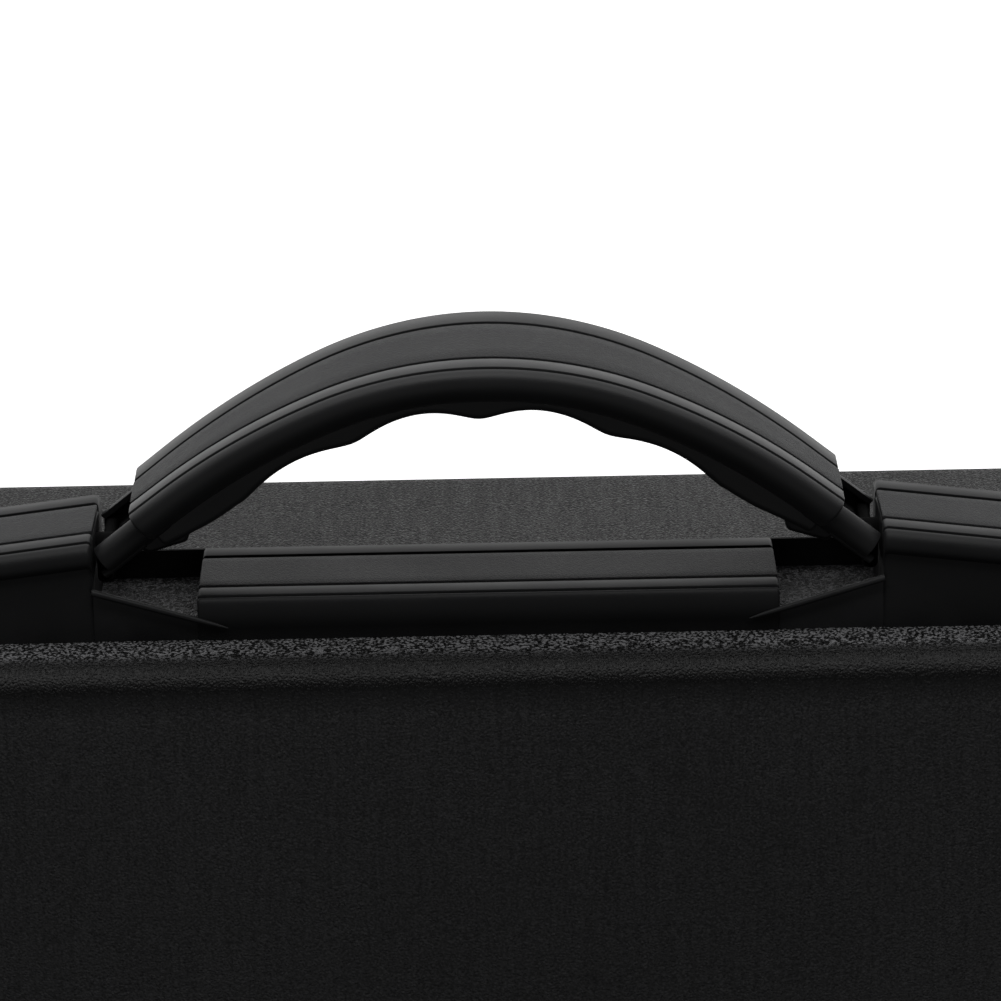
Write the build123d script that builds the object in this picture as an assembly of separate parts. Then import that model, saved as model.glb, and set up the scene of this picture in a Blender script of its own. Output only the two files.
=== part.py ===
"""Hard-shell violin case: a deep moulded base, a shallow hinged lid, a ribbed bumper round the joint, and a
swinging carrying handle between two raised shoulders. Millimetres, +Z up.

The case lies on its base. The front, with the handle and latches, faces -Y, and the hinges are at +Y. Everything is
drawn about the middle of the shell, and moved at the end so that the origin is under the middle of the whole."""
from build123d import *
import math
import os

# ---------------------------------------------------------------- driving dimensions
LENGTH = 784.0          # shell, at the joint between base and lid
WIDTH = 252.0
CORNER = 86.0           # plan radius of the shell's corners
WALL = 3.0              # moulded shell thickness
DRAFT = 1.6             # degrees, on every shell wall
FOOT = 4.0              # height of the feet under the base
BUMPER_MID = 96.0       # height of the bumper's middle line
BUMPER_RISE = 9.0       # how far the bumper's ribbed face stands off the shell
FACE_HALF = 14.0        # half height of the ribbed face
INLAY_HALF = 8.0        # half height of the rubber inlay in it
GROOVE = 0.7            # width of the lines beside the inlay
GAP = 0.2               # half of the gap between base and lid
BEAD_R = 3.2            # rounded bead along both edges of the ribbed face
BEAD_DROP = 3.8         # bead centre below the ribbed face
SKIRT = 13.4            # half height of the skirt under the beads
SKIRT_WALL = 1.2
INLAY = 1.2             # inlay thickness
LID_EDGE = 28.0         # lid's top edge above the bumper's middle line
LID_CROWN = 6.0         # how far the lid swells above that edge
BASE_FILLET = 9.5
LID_FILLET = 4.8

SHOULDER_X = 78.0       # inner face of each shoulder
SHOULDER_RISE = 12.0    # shoulder's ribbed face above the bumper's
SHOULDER_SLOPE = 7.0    # degrees
STRIP_X = 57.5          # half length of the bumper strip between the handle pockets
NOTCH_X = 51.0          # where the notch in the front skirt ends, under the strip
NOTCH_HIGH = 2.2        # its edge at the shoulder, above the bumper's face
NOTCH_LOW = -6.2        # and at its inner end
STOP_RISE = 0.3         # edge of the pocket's other wall

PIVOT_RISE = 6.2        # handle axis above the bumper's face
PIVOT_R = 2.5
HANDLE_RISE = 47.9      # handle's crown above the bumper's face
HANDLE_END = 70.6       # half length of the grip
CROWN_RADIUS = 82.0     # handle arch, middle part
CROWN_ANGLE = 24.0
SIDE_RADIUS = 150.0     # handle arch, side parts
SIDE_ANGLE = 38.0
GRIP_HALVES = ((0, 17.6), (30, 16.4), (57, 14.1), (80, 12.6))   # half width of its face, by distance from the middle
GRIP_EDGE = 6.0         # plain band either side of the grip's inlay
GRIP_BEAD = 2.3         # how far the beads stand out past the face
GRIP_FACE = 1.4         # thickness of the banded face above the beads
GRIP_RIM = 8.4          # from the face to the underside of the beads
GRIP_DEPTH = 12.0       # to the hollows of the finger web
FINGER_PITCH = 26.2
FINGER_RISE = 2.1
WEB_HALF = 8.6
NECK_OFF = 9.9          # the two necks, either side of the handle's middle
NECK_R = 3.05
LUG_HALF = 11.3

LATCH_X = 235.0
LATCH_HALF = 22.0
LATCH_PIVOT = (-2.8, -9.0)      # rise above the bumper's face, height above its middle line
LATCH_PIN_R = 1.5
HINGE_X = (-240.0, 0.0, 240.0)
HINGE_LENGTH = 60.0
KNUCKLE_R = 3.2
HINGE_PIN_R = 1.5
HINGE_OFF = 3.6         # hinge axis outside the bumper's rear face
LEAF = 1.5
RUNNING = 0.05          # radial clearance of every turning fit
REAR_FOOT_X = (-295.0, -120.0, 120.0, 295.0)
REAR_FOOT = 9.0
LINING = 2.5

BED_TOP = 88.0          # top of the foam bed
BED_FLOOR = 26.0        # floor of the violin's hollow
PARTITION = 8.0         # thickness of the walls between the trays
NECK_FLOOR = 44.0
BODY_END = 370.0        # tail end of the violin's hollow
LOWER_BOUT = 108.0      # radius
UPPER_BOUT = 90.0
BODY_LENGTH = 368.0
WAIST = 72.0
NECK_HALF = 28.0
NECK_END = -250.0
CRADLE_X = (-112.0, -72.0)
BOW_Y = 52.0            # each bow's line in the lid
SPINNER_X = -262.0
TIP_X = 300.0

# ---------------------------------------------------------------- worked out
PARTING = BUMPER_MID + INLAY_HALF + GROOVE / 2
BASE_DEPTH = PARTING - FOOT
FACE_FRONT = WIDTH / 2 + BUMPER_RISE
LID_HEIGHT = BUMPER_MID + LID_EDGE - PARTING
CROWN_BALL = ((WIDTH / 2) ** 2 + LID_CROWN ** 2) / (2 * LID_CROWN)
HINGE_Y = FACE_FRONT + HINGE_OFF
FAR = 2000.0

SHIFT = (HANDLE_RISE - REAR_FOOT) / 2       # puts the origin under the middle of the whole, handle included

parts = {}


def keep(name, shape):
    """One sub-part, one STEP file."""
    shape.label = name
    parts[name] = shape


def block(x0, x1, y0, y1, z0, z1):
    return Pos((x0 + x1) / 2, (y0 + y1) / 2, (z0 + z1) / 2) * Box(x1 - x0, y1 - y0, z1 - z0)


def soft_block(x0, x1, y0, y1, z0, z1, radius):
    """A block with its upright corners rounded."""
    shape = block(x0, x1, y0, y1, z0, z1)
    return fillet(shape.edges().filter_by(Axis.Z), radius)


def rod(radius, start, end):
    """A round bar between two points."""
    a, b = Vector(*start), Vector(*end)
    return Plane(origin=(a + b) / 2, z_dir=b - a) * Cylinder(radius, (b - a).length)


def both_ends(shape):
    return [shape, mirror(shape, about=Plane.YZ)]


def out(rise):
    """Y of a point that stands this far outside the bumper's ribbed face, at the front."""
    return -(FACE_FRONT + rise)


def facing(face, direction):
    """The same face, turned over if it looks away from this direction."""
    return face if face.normal_at().dot(Vector(*direction)) > 0 else -face


def plate(edges, z0, z1):
    """A flat face drawn in plan, given thickness upwards."""
    face = facing(make_face(edges).face(), (0, 0, 1))
    return extrude(Pos(0, 0, z0) * face, z1 - z0, dir=(0, 0, 1))


def polygon(points, z0, z1):
    return plate(Polyline(*points, close=True), z0, z1)


def tub(inset, floor, fillet_radius):
    """Filled shape of the base, less inset all round and floor at the bottom."""
    outline = RectangleRounded(LENGTH - 2 * inset, WIDTH - 2 * inset, CORNER - inset)
    solid = extrude(Pos(0, 0, PARTING) * outline, -(BASE_DEPTH - floor), taper=DRAFT)
    return fillet(solid.edges().group_by(Axis.Z)[0], fillet_radius)


def lid_solid(inset, floor, fillet_radius):
    """Filled shape of the lid: drafted walls under a gently crowned top."""
    outline = RectangleRounded(LENGTH - 2 * inset, WIDTH - 2 * inset, CORNER - inset)
    tall = extrude(Pos(0, 0, PARTING) * outline, LID_HEIGHT + LID_CROWN + 4, taper=DRAFT)
    top = PARTING + LID_HEIGHT + LID_CROWN - floor
    crown = Pos(0, 0, top - CROWN_BALL) * Rot(0, 90, 0) * Cylinder(CROWN_BALL, LENGTH + 20)
    solid = tall & crown
    rim = [e for e in solid.edges() if e.bounding_box().min.Z > PARTING + 5]
    return fillet(rim, fillet_radius)


BELOW = block(-FAR, FAR, -FAR, FAR, 0, PARTING - GAP)
ABOVE = block(-FAR, FAR, -FAR, FAR, PARTING + GAP, 300)


# ---------------------------------------------------------------- bumper
def ring(section):
    """Sweeps a section round the case. Its X is outwards from the shell, its Y is up from the bumper's middle."""
    path = Pos(0, 0, BUMPER_MID) * RectangleRounded(LENGTH, WIDTH, CORNER).wire()
    tangent = path % 0
    if (path @ 0.25 - path @ 0).cross(path @ 0.5 - path @ 0).Z < 0:
        tangent = tangent * -1
    plane = Plane(origin=path @ 0, x_dir=tangent.cross(Vector(0, 0, 1)), z_dir=tangent * -1)
    return sweep(plane * section, path=path)


def bumper_section(depth):
    """Ribbed face with a bead and a skirt along each edge. X is 0 at the face and depth is how far in it goes."""
    section = Pos(-depth / 2, 0) * Rectangle(depth, 2 * SKIRT)
    section += Pos(-1.0, 0) * Rectangle(2.0, 2 * FACE_HALF)
    for side in (-1, 1):
        section += Pos(-BEAD_DROP, side * (SKIRT + 0.1)) * Circle(BEAD_R)
    section -= Pos(-INLAY / 2, 0) * Rectangle(INLAY, 2 * (INLAY_HALF + GROOVE / 2))
    for side in (-1, 1):
        section -= Pos(-0.4, side * (FACE_HALF - GROOVE / 2)) * Rectangle(0.8, GROOVE)
    return section


def inlay_section():
    return Pos(-INLAY / 2, 0) * Rectangle(INLAY, 2 * INLAY_HALF)


def sloping(section, start_x, length):
    """A section that stands highest beside the handle and slopes down along +X."""
    plane = Plane(origin=(start_x, out(SHOULDER_RISE), BUMPER_MID), x_dir=(0, -1, 0), z_dir=(-1, 0, 0))
    slope = math.radians(SHOULDER_SLOPE)
    return extrude(plane * section, length / math.cos(slope), dir=(math.cos(slope), math.sin(slope), 0))


def bumpers(shell_fill):
    """The base's and lid's bumper rings, and the rubber inlays in the base's."""
    run = SHOULDER_RISE / math.tan(math.radians(SHOULDER_SLOPE))
    whole = ring(Pos(BUMPER_RISE, 0) * bumper_section(BUMPER_RISE + 2))
    pocket = block(STRIP_X, SHOULDER_X, out(60), out(-BUMPER_RISE - 6), BUMPER_MID - 40, BUMPER_MID + 40)
    latch_x = (LATCH_X - LATCH_HALF - 2.5, LATCH_X + LATCH_HALF + 2.5)
    recess = block(*latch_x, out(60), out(-BUMPER_RISE - 6), BUMPER_MID - 40, BUMPER_MID + 40)
    foot = out(-BUMPER_RISE - 3)
    low = BUMPER_MID - SKIRT
    stop = block(STRIP_X - 1, SHOULDER_X + 1, out(STOP_RISE), foot, low, low + SKIRT_WALL)
    notch = polygon([(NOTCH_X, foot), (SHOULDER_X + 1, foot), (SHOULDER_X + 1, out(NOTCH_HIGH)),
                     (NOTCH_X, out(NOTCH_LOW))], BUMPER_MID + SKIRT - SKIRT_WALL, BUMPER_MID + SKIRT)
    bore = rod(PIVOT_R, (SHOULDER_X - 2, out(PIVOT_RISE), BUMPER_MID), (SHOULDER_X + 16, out(PIVOT_RISE), BUMPER_MID))
    for cut in both_ends(pocket) + both_ends(recess):
        whole -= cut
    shoulder = sloping(bumper_section(BUMPER_RISE + SHOULDER_RISE + 2), SHOULDER_X, run)
    for addition in both_ends(shoulder) + both_ends(stop) + both_ends(notch):
        whole += addition
    for cut in both_ends(bore):
        whole -= cut
    whole -= shell_fill
    base = whole & BELOW

    front = block(-SHOULDER_X - run, SHOULDER_X + run, out(5), out(-5), 0, 200)
    ring_inlay = ring(Pos(BUMPER_RISE, 0) * inlay_section()) - front
    for cut in both_ends(recess):
        ring_inlay -= cut
    right = sloping(inlay_section(), SHOULDER_X, run - 0.3)
    keep("bumper_inlay", ring_inlay)
    keep("strip_inlay", block(-STRIP_X, STRIP_X, out(0), out(-INLAY), BUMPER_MID - INLAY_HALF, BUMPER_MID + INLAY_HALF))
    keep("shoulder_inlay_right", right)
    keep("shoulder_inlay_left", mirror(right, about=Plane.YZ))
    for inlay in ("bumper_inlay", "strip_inlay", "shoulder_inlay_right", "shoulder_inlay_left"):
        base -= parts[inlay]
    keep("base_bumper", base)
    keep("lid_bumper", whole & ABOVE)


# ---------------------------------------------------------------- handle
def arch_point(angle, depth=0.0, run=0.0):
    """Point on the handle's arch where it slopes this much: depth below its face, run past it along the slope."""
    size = abs(angle)
    slope = math.radians(size)
    first = math.radians(min(size, CROWN_ANGLE))
    x = CROWN_RADIUS * math.sin(first) + SIDE_RADIUS * (math.sin(slope) - math.sin(first))
    drop = CROWN_RADIUS * (1 - math.cos(first)) + SIDE_RADIUS * (math.cos(first) - math.cos(slope))
    x += run * math.cos(slope) - depth * math.sin(slope)
    rise = HANDLE_RISE - drop - run * math.sin(slope) - depth * math.cos(slope)
    return (math.copysign(x, angle), out(rise))


STRAIGHT = (HANDLE_END - arch_point(SIDE_ANGLE)[0]) / math.cos(math.radians(SIDE_ANGLE))


def arch_edges(depth, run):
    """The arch's line at one depth, from its left end to its right end."""
    half = (SIDE_ANGLE + CROWN_ANGLE) / 2
    side_l, mid_l, crown_l, top, crown_r, mid_r, side_r = [
        arch_point(a, depth) for a in (-SIDE_ANGLE, -half, -CROWN_ANGLE, 0.0001, CROWN_ANGLE, half, SIDE_ANGLE)]
    return [Line(arch_point(-SIDE_ANGLE, depth, run), side_l),
            ThreePointArc(side_l, mid_l, crown_l),
            ThreePointArc(crown_l, top, crown_r),
            ThreePointArc(crown_r, mid_r, side_r),
            Line(side_r, arch_point(SIDE_ANGLE, depth, run))]


def arch_band(top, bottom, half_height, run=STRAIGHT):
    """A band of the arch between two depths, as high as the handle is wide."""
    upper, lower = arch_edges(top, run), arch_edges(bottom, run)
    ends = [Line(upper[0] @ 0, lower[0] @ 0), Line(upper[-1] @ 1, lower[-1] @ 1)]
    return plate(Curve() + upper + lower + ends, BUMPER_MID - half_height, BUMPER_MID + half_height)


def grip_limits(extra):
    """The handle's outline seen from the front, this much wider than its banded face."""
    halves = [(-x, half + extra) for x, half in reversed(GRIP_HALVES[1:])]
    halves += [(x, half + extra) for x, half in GRIP_HALVES]
    upper = Spline(*halves)
    lower = mirror(upper, about=Plane.XZ)
    sides = [Line(upper @ 0, lower @ 0), Line(upper @ 1, lower @ 1)]
    plane = Plane(origin=(0, out(-20), BUMPER_MID), x_dir=(1, 0, 0), z_dir=(0, -1, 0))
    face = facing((plane * make_face(Curve() + [upper, lower] + sides)).face(), (0, -1, 0))
    return extrude(face, 90, dir=(0, -1, 0))


def finger_web():
    """The web under the grip, with a hollow for each finger."""
    web = arch_band(GRIP_RIM - 1.0, GRIP_DEPTH + FINGER_RISE, WEB_HALF)
    hollow = (FINGER_PITCH / 2) ** 2 / (2 * FINGER_RISE) + FINGER_RISE / 2
    inner = CROWN_RADIUS - GRIP_DEPTH
    for index in (-1.5, -0.5, 0.5, 1.5):
        angle = math.degrees(abs(index) * FINGER_PITCH / inner)
        if angle > CROWN_ANGLE:
            angle = CROWN_ANGLE + (angle - CROWN_ANGLE) * inner / (SIDE_RADIUS - GRIP_DEPTH)
        x, y = arch_point(math.copysign(angle, index), GRIP_DEPTH + hollow)
        web -= Pos(x, y, BUMPER_MID) * Cylinder(hollow, 3 * WEB_HALF)
    return web


def rounded_beads():
    """Both rounded beads under the banded face, and what lies between them."""
    beads = arch_band(0.6, GRIP_RIM, 40) & grip_limits(GRIP_BEAD)
    edges = [e for e in beads.edges() if abs(e.center().Z - BUMPER_MID) > 8 and e.length > 25]
    return fillet(edges, 3.4)


def handle():
    face = arch_band(0, GRIP_FACE, 40) & grip_limits(0)
    core = arch_band(4.2, 7.2, WEB_HALF - 2.4, run=STRAIGHT + 2)
    channel = arch_band(0, INLAY, 40) & grip_limits(GROOVE / 2 - GRIP_EDGE)
    grip = rounded_beads() + face + finger_web() - channel - core
    keep("handle_inlay", arch_band(0, INLAY, 40) & grip_limits(-GRIP_EDGE))

    neck_end = (SHOULDER_X - 2.4, out(PIVOT_RISE))
    neck_start = arch_point(SIDE_ANGLE, 5.2, STRAIGHT - 3)
    for side in (-1, 1):
        bar = [arch_point(side * SIDE_ANGLE, depth, run) for depth, run in
               ((3.4, STRAIGHT - 2), (3.4, STRAIGHT + 3), (8.0, STRAIGHT + 3), (8.0, STRAIGHT - 2))]
        core += polygon(bar, BUMPER_MID - NECK_OFF, BUMPER_MID + NECK_OFF)
        for height in (-NECK_OFF, NECK_OFF):
            start = (side * neck_start[0], neck_start[1], BUMPER_MID + height)
            core += rod(NECK_R, start, (side * neck_end[0], neck_end[1] - 0.4, BUMPER_MID + height))
        lug = (side * (SHOULDER_X - 5.2), side * (SHOULDER_X - 0.8))
        core += block(min(lug), max(lug), out(PIVOT_RISE + 4.4), out(PIVOT_RISE - 4.4),
                      BUMPER_MID - LUG_HALF, BUMPER_MID + LUG_HALF)
        tab = [(side * x, out(rise)) for x, rise in ((58.5, 11.2), (60.0, 8.4), (67.0, 6.6), (69.5, 9.5), (66.5, 16))]
        core += polygon(tab, BUMPER_MID - 8, BUMPER_MID + 8)
    core &= block(-SHOULDER_X + 0.8, SHOULDER_X - 0.8, -400, 0, 0, 200)
    for bore in both_ends(rod(PIVOT_R + RUNNING, (SHOULDER_X - 12, out(PIVOT_RISE), BUMPER_MID),
                              (SHOULDER_X, out(PIVOT_RISE), BUMPER_MID))):
        core -= bore
    keep("handle_grip", grip)
    keep("handle_core", core - grip - parts["handle_inlay"])
    pin = rod(PIVOT_R, (SHOULDER_X - 7.5, out(PIVOT_RISE), BUMPER_MID), (SHOULDER_X + 16, out(PIVOT_RISE), BUMPER_MID))
    keep("handle_pin_right", pin)
    keep("handle_pin_left", mirror(pin, about=Plane.YZ))


# ---------------------------------------------------------------- latches and hinges
def latch(x, shell_fill):
    """Base plate with its pin, flip-down lever and lid keeper of the latch at this X."""
    rise, height = LATCH_PIVOT
    z = BUMPER_MID + height
    base = block(x - LATCH_HALF, x + LATCH_HALF, out(-6.6), out(-14), BUMPER_MID - 15, PARTING - 0.6)
    for side in (-1, 1):
        ear = (x + side * 15.9, x + side * 19.5)
        base += block(min(ear), max(ear), out(0), out(-7), z - 3.2, z + 3.2)
    pin = rod(LATCH_PIN_R, (x - 20.2, out(rise), z), (x + 20.2, out(rise), z))
    lever = rod(2.7, (x - 15.5, out(rise), z), (x + 15.5, out(rise), z))
    lever += block(x - 15.5, x + 15.5, out(rise + 1.4), out(rise - 1.0), z, BUMPER_MID + 19)
    lever += block(x - 15.5, x + 15.5, out(rise + 3.4), out(rise), BUMPER_MID + 16.5, BUMPER_MID + 19)
    lever -= rod(LATCH_PIN_R + RUNNING, (x - 30, out(rise), z), (x + 30, out(rise), z))
    keeper = block(x - LATCH_HALF, x + LATCH_HALF, out(-6.8), out(-14), PARTING + 0.6, BUMPER_MID + 21.5)
    keeper += block(x - 11, x + 11, out(-4.5), out(-7), BUMPER_MID + 11.5, BUMPER_MID + 14.5)
    return (base - pin - shell_fill, pin, lever, keeper - shell_fill)


def latches(shell_fill):
    left, right = latch(-LATCH_X, shell_fill), latch(LATCH_X, shell_fill)
    keep("latch_plates", Compound(children=[left[0], right[0]]))
    keep("latch_pins", Compound(children=[left[1], right[1]]))
    keep("latch_lever_left", left[2])
    keep("latch_lever_right", right[2])
    keep("latch_keepers", Compound(children=[left[3], right[3]]))


def hinge_leaf(x, up):
    """One leaf of the hinge at this X. The base's leaf has three knuckles, the lid's has two."""
    sign = 1 if up else -1
    reach = 7.5 if up else 20.0
    ends = sorted((PARTING + sign * 0.5, PARTING + sign * reach))
    leaf = block(x - HINGE_LENGTH / 2, x + HINGE_LENGTH / 2, FACE_FRONT, FACE_FRONT + LEAF, *ends)
    pitch = HINGE_LENGTH / 5
    for index in range(5):
        x0 = x - HINGE_LENGTH / 2 + index * pitch
        mine = (index % 2 == 1) == up
        if mine:
            leaf += rod(KNUCKLE_R, (x0 + 0.15, HINGE_Y, PARTING), (x0 + pitch - 0.15, HINGE_Y, PARTING))
        else:
            leaf -= rod(KNUCKLE_R + 0.4, (x0 - 0.15, HINGE_Y, PARTING), (x0 + pitch + 0.15, HINGE_Y, PARTING))
    bore = HINGE_PIN_R + (RUNNING if up else 0)
    return leaf - rod(bore, (x - HINGE_LENGTH, HINGE_Y, PARTING), (x + HINGE_LENGTH, HINGE_Y, PARTING))


def rivets(positions, y0, y1, radius):
    return Compound(children=[rod(radius, (x, y0, z), (x, y1, z)) for x, z in positions])


def hinges():
    keep("hinge_leaves_base", Compound(children=[hinge_leaf(x, False) for x in HINGE_X]))
    keep("hinge_leaves_lid", Compound(children=[hinge_leaf(x, True) for x in HINGE_X]))
    pins = [rod(HINGE_PIN_R, (x - HINGE_LENGTH / 2, HINGE_Y, PARTING), (x + HINGE_LENGTH / 2, HINGE_Y, PARTING))
            for x in HINGE_X]
    keep("hinge_pins", Compound(children=pins))
    head = FACE_FRONT + LEAF
    low = [(x + dx, PARTING - 12.5) for x in HINGE_X for dx in (-22, 0, 22)]
    high = [(x + dx, PARTING + 5.4) for x in HINGE_X for dx in (-24, 0, 24)]
    keep("hinge_rivets_base", rivets(low, head, head + 1.0, 3.0))
    keep("hinge_rivets_lid", rivets(high, head, head + 1.0, 1.9))


# ---------------------------------------------------------------- feet, bed and lid fittings
def feet():
    discs = [Pos(x, y, FOOT / 2) * Cylinder(13, FOOT) for x in (-300, 300) for y in (-72, 72)]
    keep("base_feet", Compound(children=discs))
    height = BUMPER_MID - 2.5
    studs = [rod(9, (x, FACE_FRONT, height), (x, FACE_FRONT + REAR_FOOT, height)) for x in REAR_FOOT_X]
    keep("rear_feet", Compound(children=studs))


def inside(inset, z0, z1):
    """The base's inside between two heights, less inset all round."""
    return tub(WALL + inset, WALL + inset, BASE_FILLET - WALL - inset) & block(-FAR, FAR, -FAR, FAR, z0, z1)


def bed():
    """Lining, foam bed for the instrument, and the partitions that make three open trays beside its neck."""
    lined = inside(LINING, 0, BED_TOP)
    lining = tub(WALL, WALL, BASE_FILLET - WALL) - tub(WALL + LINING, WALL + LINING, BASE_FILLET - WALL - LINING)
    floor = FOOT + WALL + LINING
    keep("base_lining", lining & block(-FAR, FAR, -FAR, FAR, 0, BED_TOP + 8))
    bed_end = BODY_END - BODY_LENGTH - 20
    keep("body_floor", lined & block(bed_end, FAR, -FAR, FAR, 0, BED_FLOOR))
    lower_x, upper_x = BODY_END - LOWER_BOUT, BODY_END - BODY_LENGTH + UPPER_BOUT
    up = 2 * BED_TOP
    hollow = Pos(lower_x, 0, 0) * Cylinder(LOWER_BOUT, up) + Pos(upper_x, 0, 0) * Cylinder(UPPER_BOUT, up)
    hollow += block(upper_x, lower_x, -WAIST, WAIST, -BED_TOP, BED_TOP)
    hollow += block(bed_end - 1, upper_x, -NECK_HALF, NECK_HALF, -BED_TOP, BED_TOP)
    surround = lined & block(bed_end, FAR, -FAR, FAR, BED_FLOOR, BED_TOP)
    surround -= hollow
    keep("body_foam_front", surround & block(-FAR, FAR, -FAR, -0.2, 0, FAR))
    keep("body_foam_rear", surround & block(-FAR, FAR, 0.2, FAR, 0, FAR))
    keep("end_partition", lined & block(NECK_END - PARTITION, NECK_END, -FAR, FAR, floor, BED_TOP))
    for name, side in (("neck_wall_front", -1), ("neck_wall_rear", 1)):
        ends = sorted((side * NECK_HALF, side * (NECK_HALF + PARTITION)))
        keep(name, block(NECK_END, bed_end, *ends, floor, BED_TOP))
    keep("neck_bed", block(NECK_END, bed_end, -NECK_HALF, NECK_HALF, floor, NECK_FLOOR))
    cradle = block(*CRADLE_X, -NECK_HALF, NECK_HALF, NECK_FLOOR, BED_TOP - 6)
    cradle -= rod(19, (CRADLE_X[0] - 5, 0, BED_TOP - 4), (CRADLE_X[1] + 5, 0, BED_TOP - 4))
    keep("neck_cradle", cradle)
    mid = sum(CRADLE_X) / 2
    reach = NECK_HALF + PARTITION
    keep("neck_strap", block(mid - 14, mid + 14, -reach, reach, BED_TOP, BED_TOP + 2))
    anchors = [block(mid - 15, mid + 15, y - 3.5, y + 3.5, BED_TOP + 2, BED_TOP + 3.6)
               for y in (4 - reach, reach - 4)]
    keep("neck_strap_anchors", Compound(children=anchors))
    pads = [soft_block(x - 22, x + 22, -46, 46, BED_FLOOR, BED_FLOOR + 9, 10) for x in (BODY_END - 44, 46)]
    keep("suspension_pads", Compound(children=pads))


def lid_fittings():
    """Padded lining, bow rests, turning bow holders and tip pockets inside the lid."""
    inner = lid_solid(WALL + LINING, WALL + LINING, 2.5)
    lining = lid_solid(WALL, WALL, LID_FILLET - WALL + 0.6) - inner
    keep("lid_lining", lining & ABOVE)
    under = PARTING + 7
    rest = block(SPINNER_X - 16, SPINNER_X + 16, -90, 90, under, 200) & inner
    for side in (-1, 1):
        rest -= block(SPINNER_X - 20, SPINNER_X + 20, side * BOW_Y - 7, side * BOW_Y + 7, 0, under + 9)
    keep("bow_rest", rest)
    screws, holders = [], []
    for side in (-1, 1):
        y = side * (BOW_Y - 15)
        holder = block(SPINNER_X - 22, SPINNER_X + 22, y - 6, y + 6, under - 5.5, under - 0.5)
        holder = fillet(holder.edges().filter_by(Axis.Z), 5.5)
        holder -= Pos(SPINNER_X, y, under) * Cylinder(2.0 + RUNNING, 40)
        holders.append(holder)
        screw = Pos(SPINNER_X, y, under) * Cylinder(2.0, 12) + Pos(SPINNER_X, y, under - 6.7) * Cylinder(4.5, 1.4)
        screws.append(screw)
    for screw in screws:
        parts["bow_rest"] -= screw
    parts["bow_rest"].label = "bow_rest"
    keep("bow_screws", Compound(children=screws))
    keep("bow_holder_front", holders[0])
    keep("bow_holder_rear", holders[1])
    pockets = []
    for side in (-1, 1):
        y = side * BOW_Y
        pocket = block(TIP_X - 30, TIP_X + 30, y - 16, y + 16, under - 2, 200) & inner
        pocket -= block(TIP_X - 40, TIP_X + 27, y - 13.5, y + 13.5, under + 0.5, 200)
        pockets.append(pocket)
    keep("bow_tip_pockets", Compound(children=pockets))


if __name__ == "__main__":
    os.makedirs("parts", exist_ok=True)
    base_fill = tub(0, 0, BASE_FILLET)
    lid_fill = lid_solid(0, 0, LID_FILLET)
    both_fill = base_fill + lid_fill
    keep("base_shell", (base_fill - tub(WALL, WALL, BASE_FILLET - WALL)) & BELOW)
    keep("lid_shell", (lid_fill - lid_solid(WALL, WALL, LID_FILLET - WALL + 0.6)) & ABOVE)
    bumpers(both_fill)
    handle()
    latches(both_fill)
    hinges()
    feet()
    bed()
    lid_fittings()
    for name, shape in parts.items():
        export_step(Pos(0, SHIFT, 0) * shape, f"parts/{name}.step")
        print(name, len(shape.solids()), round(shape.volume))
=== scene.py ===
"""Looks of the hard-shell violin case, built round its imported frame. Lengths are in millimetres
about the middle of the shell, as the CAD draws them, and become metres in the shared frame when a
mesh is made."""
import bmesh
import bpy
import math
from mathutils import Matrix, Vector


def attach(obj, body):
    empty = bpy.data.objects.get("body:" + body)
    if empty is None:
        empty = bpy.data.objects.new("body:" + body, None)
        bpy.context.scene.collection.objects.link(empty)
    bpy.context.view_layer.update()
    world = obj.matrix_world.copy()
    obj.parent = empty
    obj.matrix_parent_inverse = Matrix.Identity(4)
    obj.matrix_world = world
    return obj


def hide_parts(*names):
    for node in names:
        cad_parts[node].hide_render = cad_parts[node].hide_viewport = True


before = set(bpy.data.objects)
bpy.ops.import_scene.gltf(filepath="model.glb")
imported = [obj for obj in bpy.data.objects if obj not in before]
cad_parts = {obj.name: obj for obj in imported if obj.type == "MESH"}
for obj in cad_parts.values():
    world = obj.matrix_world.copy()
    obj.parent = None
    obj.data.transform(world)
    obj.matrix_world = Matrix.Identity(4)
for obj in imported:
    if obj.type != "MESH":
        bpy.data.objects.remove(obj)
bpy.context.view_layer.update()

# ---------------------------------------------------------------- dimensions shared with the CAD
LENGTH, WIDTH, CORNER = 784.0, 252.0, 86.0
WALL, DRAFT, FOOT = 3.0, math.radians(1.6), 4.0
BUMPER_MID, BUMPER_RISE, FACE_HALF, INLAY_HALF, GROOVE = 96.0, 9.0, 14.0, 8.0, 0.7
GAP, SKIRT, SKIRT_WALL, INLAY = 0.2, 14.8, 1.2, 1.2
LINE = 1.3              # width of the dark lines beside each rubber strip
EASE = 0.35             # room round each rubber strip in its channel
FOOT_RISE = -BUMPER_RISE - 1.3     # how deep the bumper's foot is bedded in the shell
POCKET_FLOOR = -6.4     # grained floor of the handle pockets, against the bumper's face
LID_EDGE, LID_CROWN, BASE_FILLET, LID_FILLET = 28.0, 6.0, 9.5, 5.9
SHOULDER_X, SHOULDER_RISE, SHOULDER_SLOPE, STRIP_X = 78.0, 12.0, math.radians(7.0), 57.5
NOTCH_X, NOTCH_HIGH, NOTCH_LOW, STOP_RISE = 51.0, 2.2, -6.2, -0.3
PIVOT_RISE = 6.2
HANDLE_RISE, HANDLE_END = 47.9, 70.6
CROWN_RADIUS, CROWN_ANGLE = 82.0, math.radians(24.0)
SIDE_RADIUS, SIDE_ANGLE = 150.0, math.radians(38.0)
GRIP_HALVES = ((-30, 16.4), (0, 17.6), (30, 16.4), (57, 14.1), (80, 12.6), (100, 11.6))
GRIP_EDGE, FAR_EDGE, GRIP_DEPTH = 6.0, 7.8, 12.0
FINGER_PITCH, FINGER_SHIFT, WEB_HOLLOW, WEB_HALF = 26.2, 1.2, 11.9, 8.6
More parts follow.
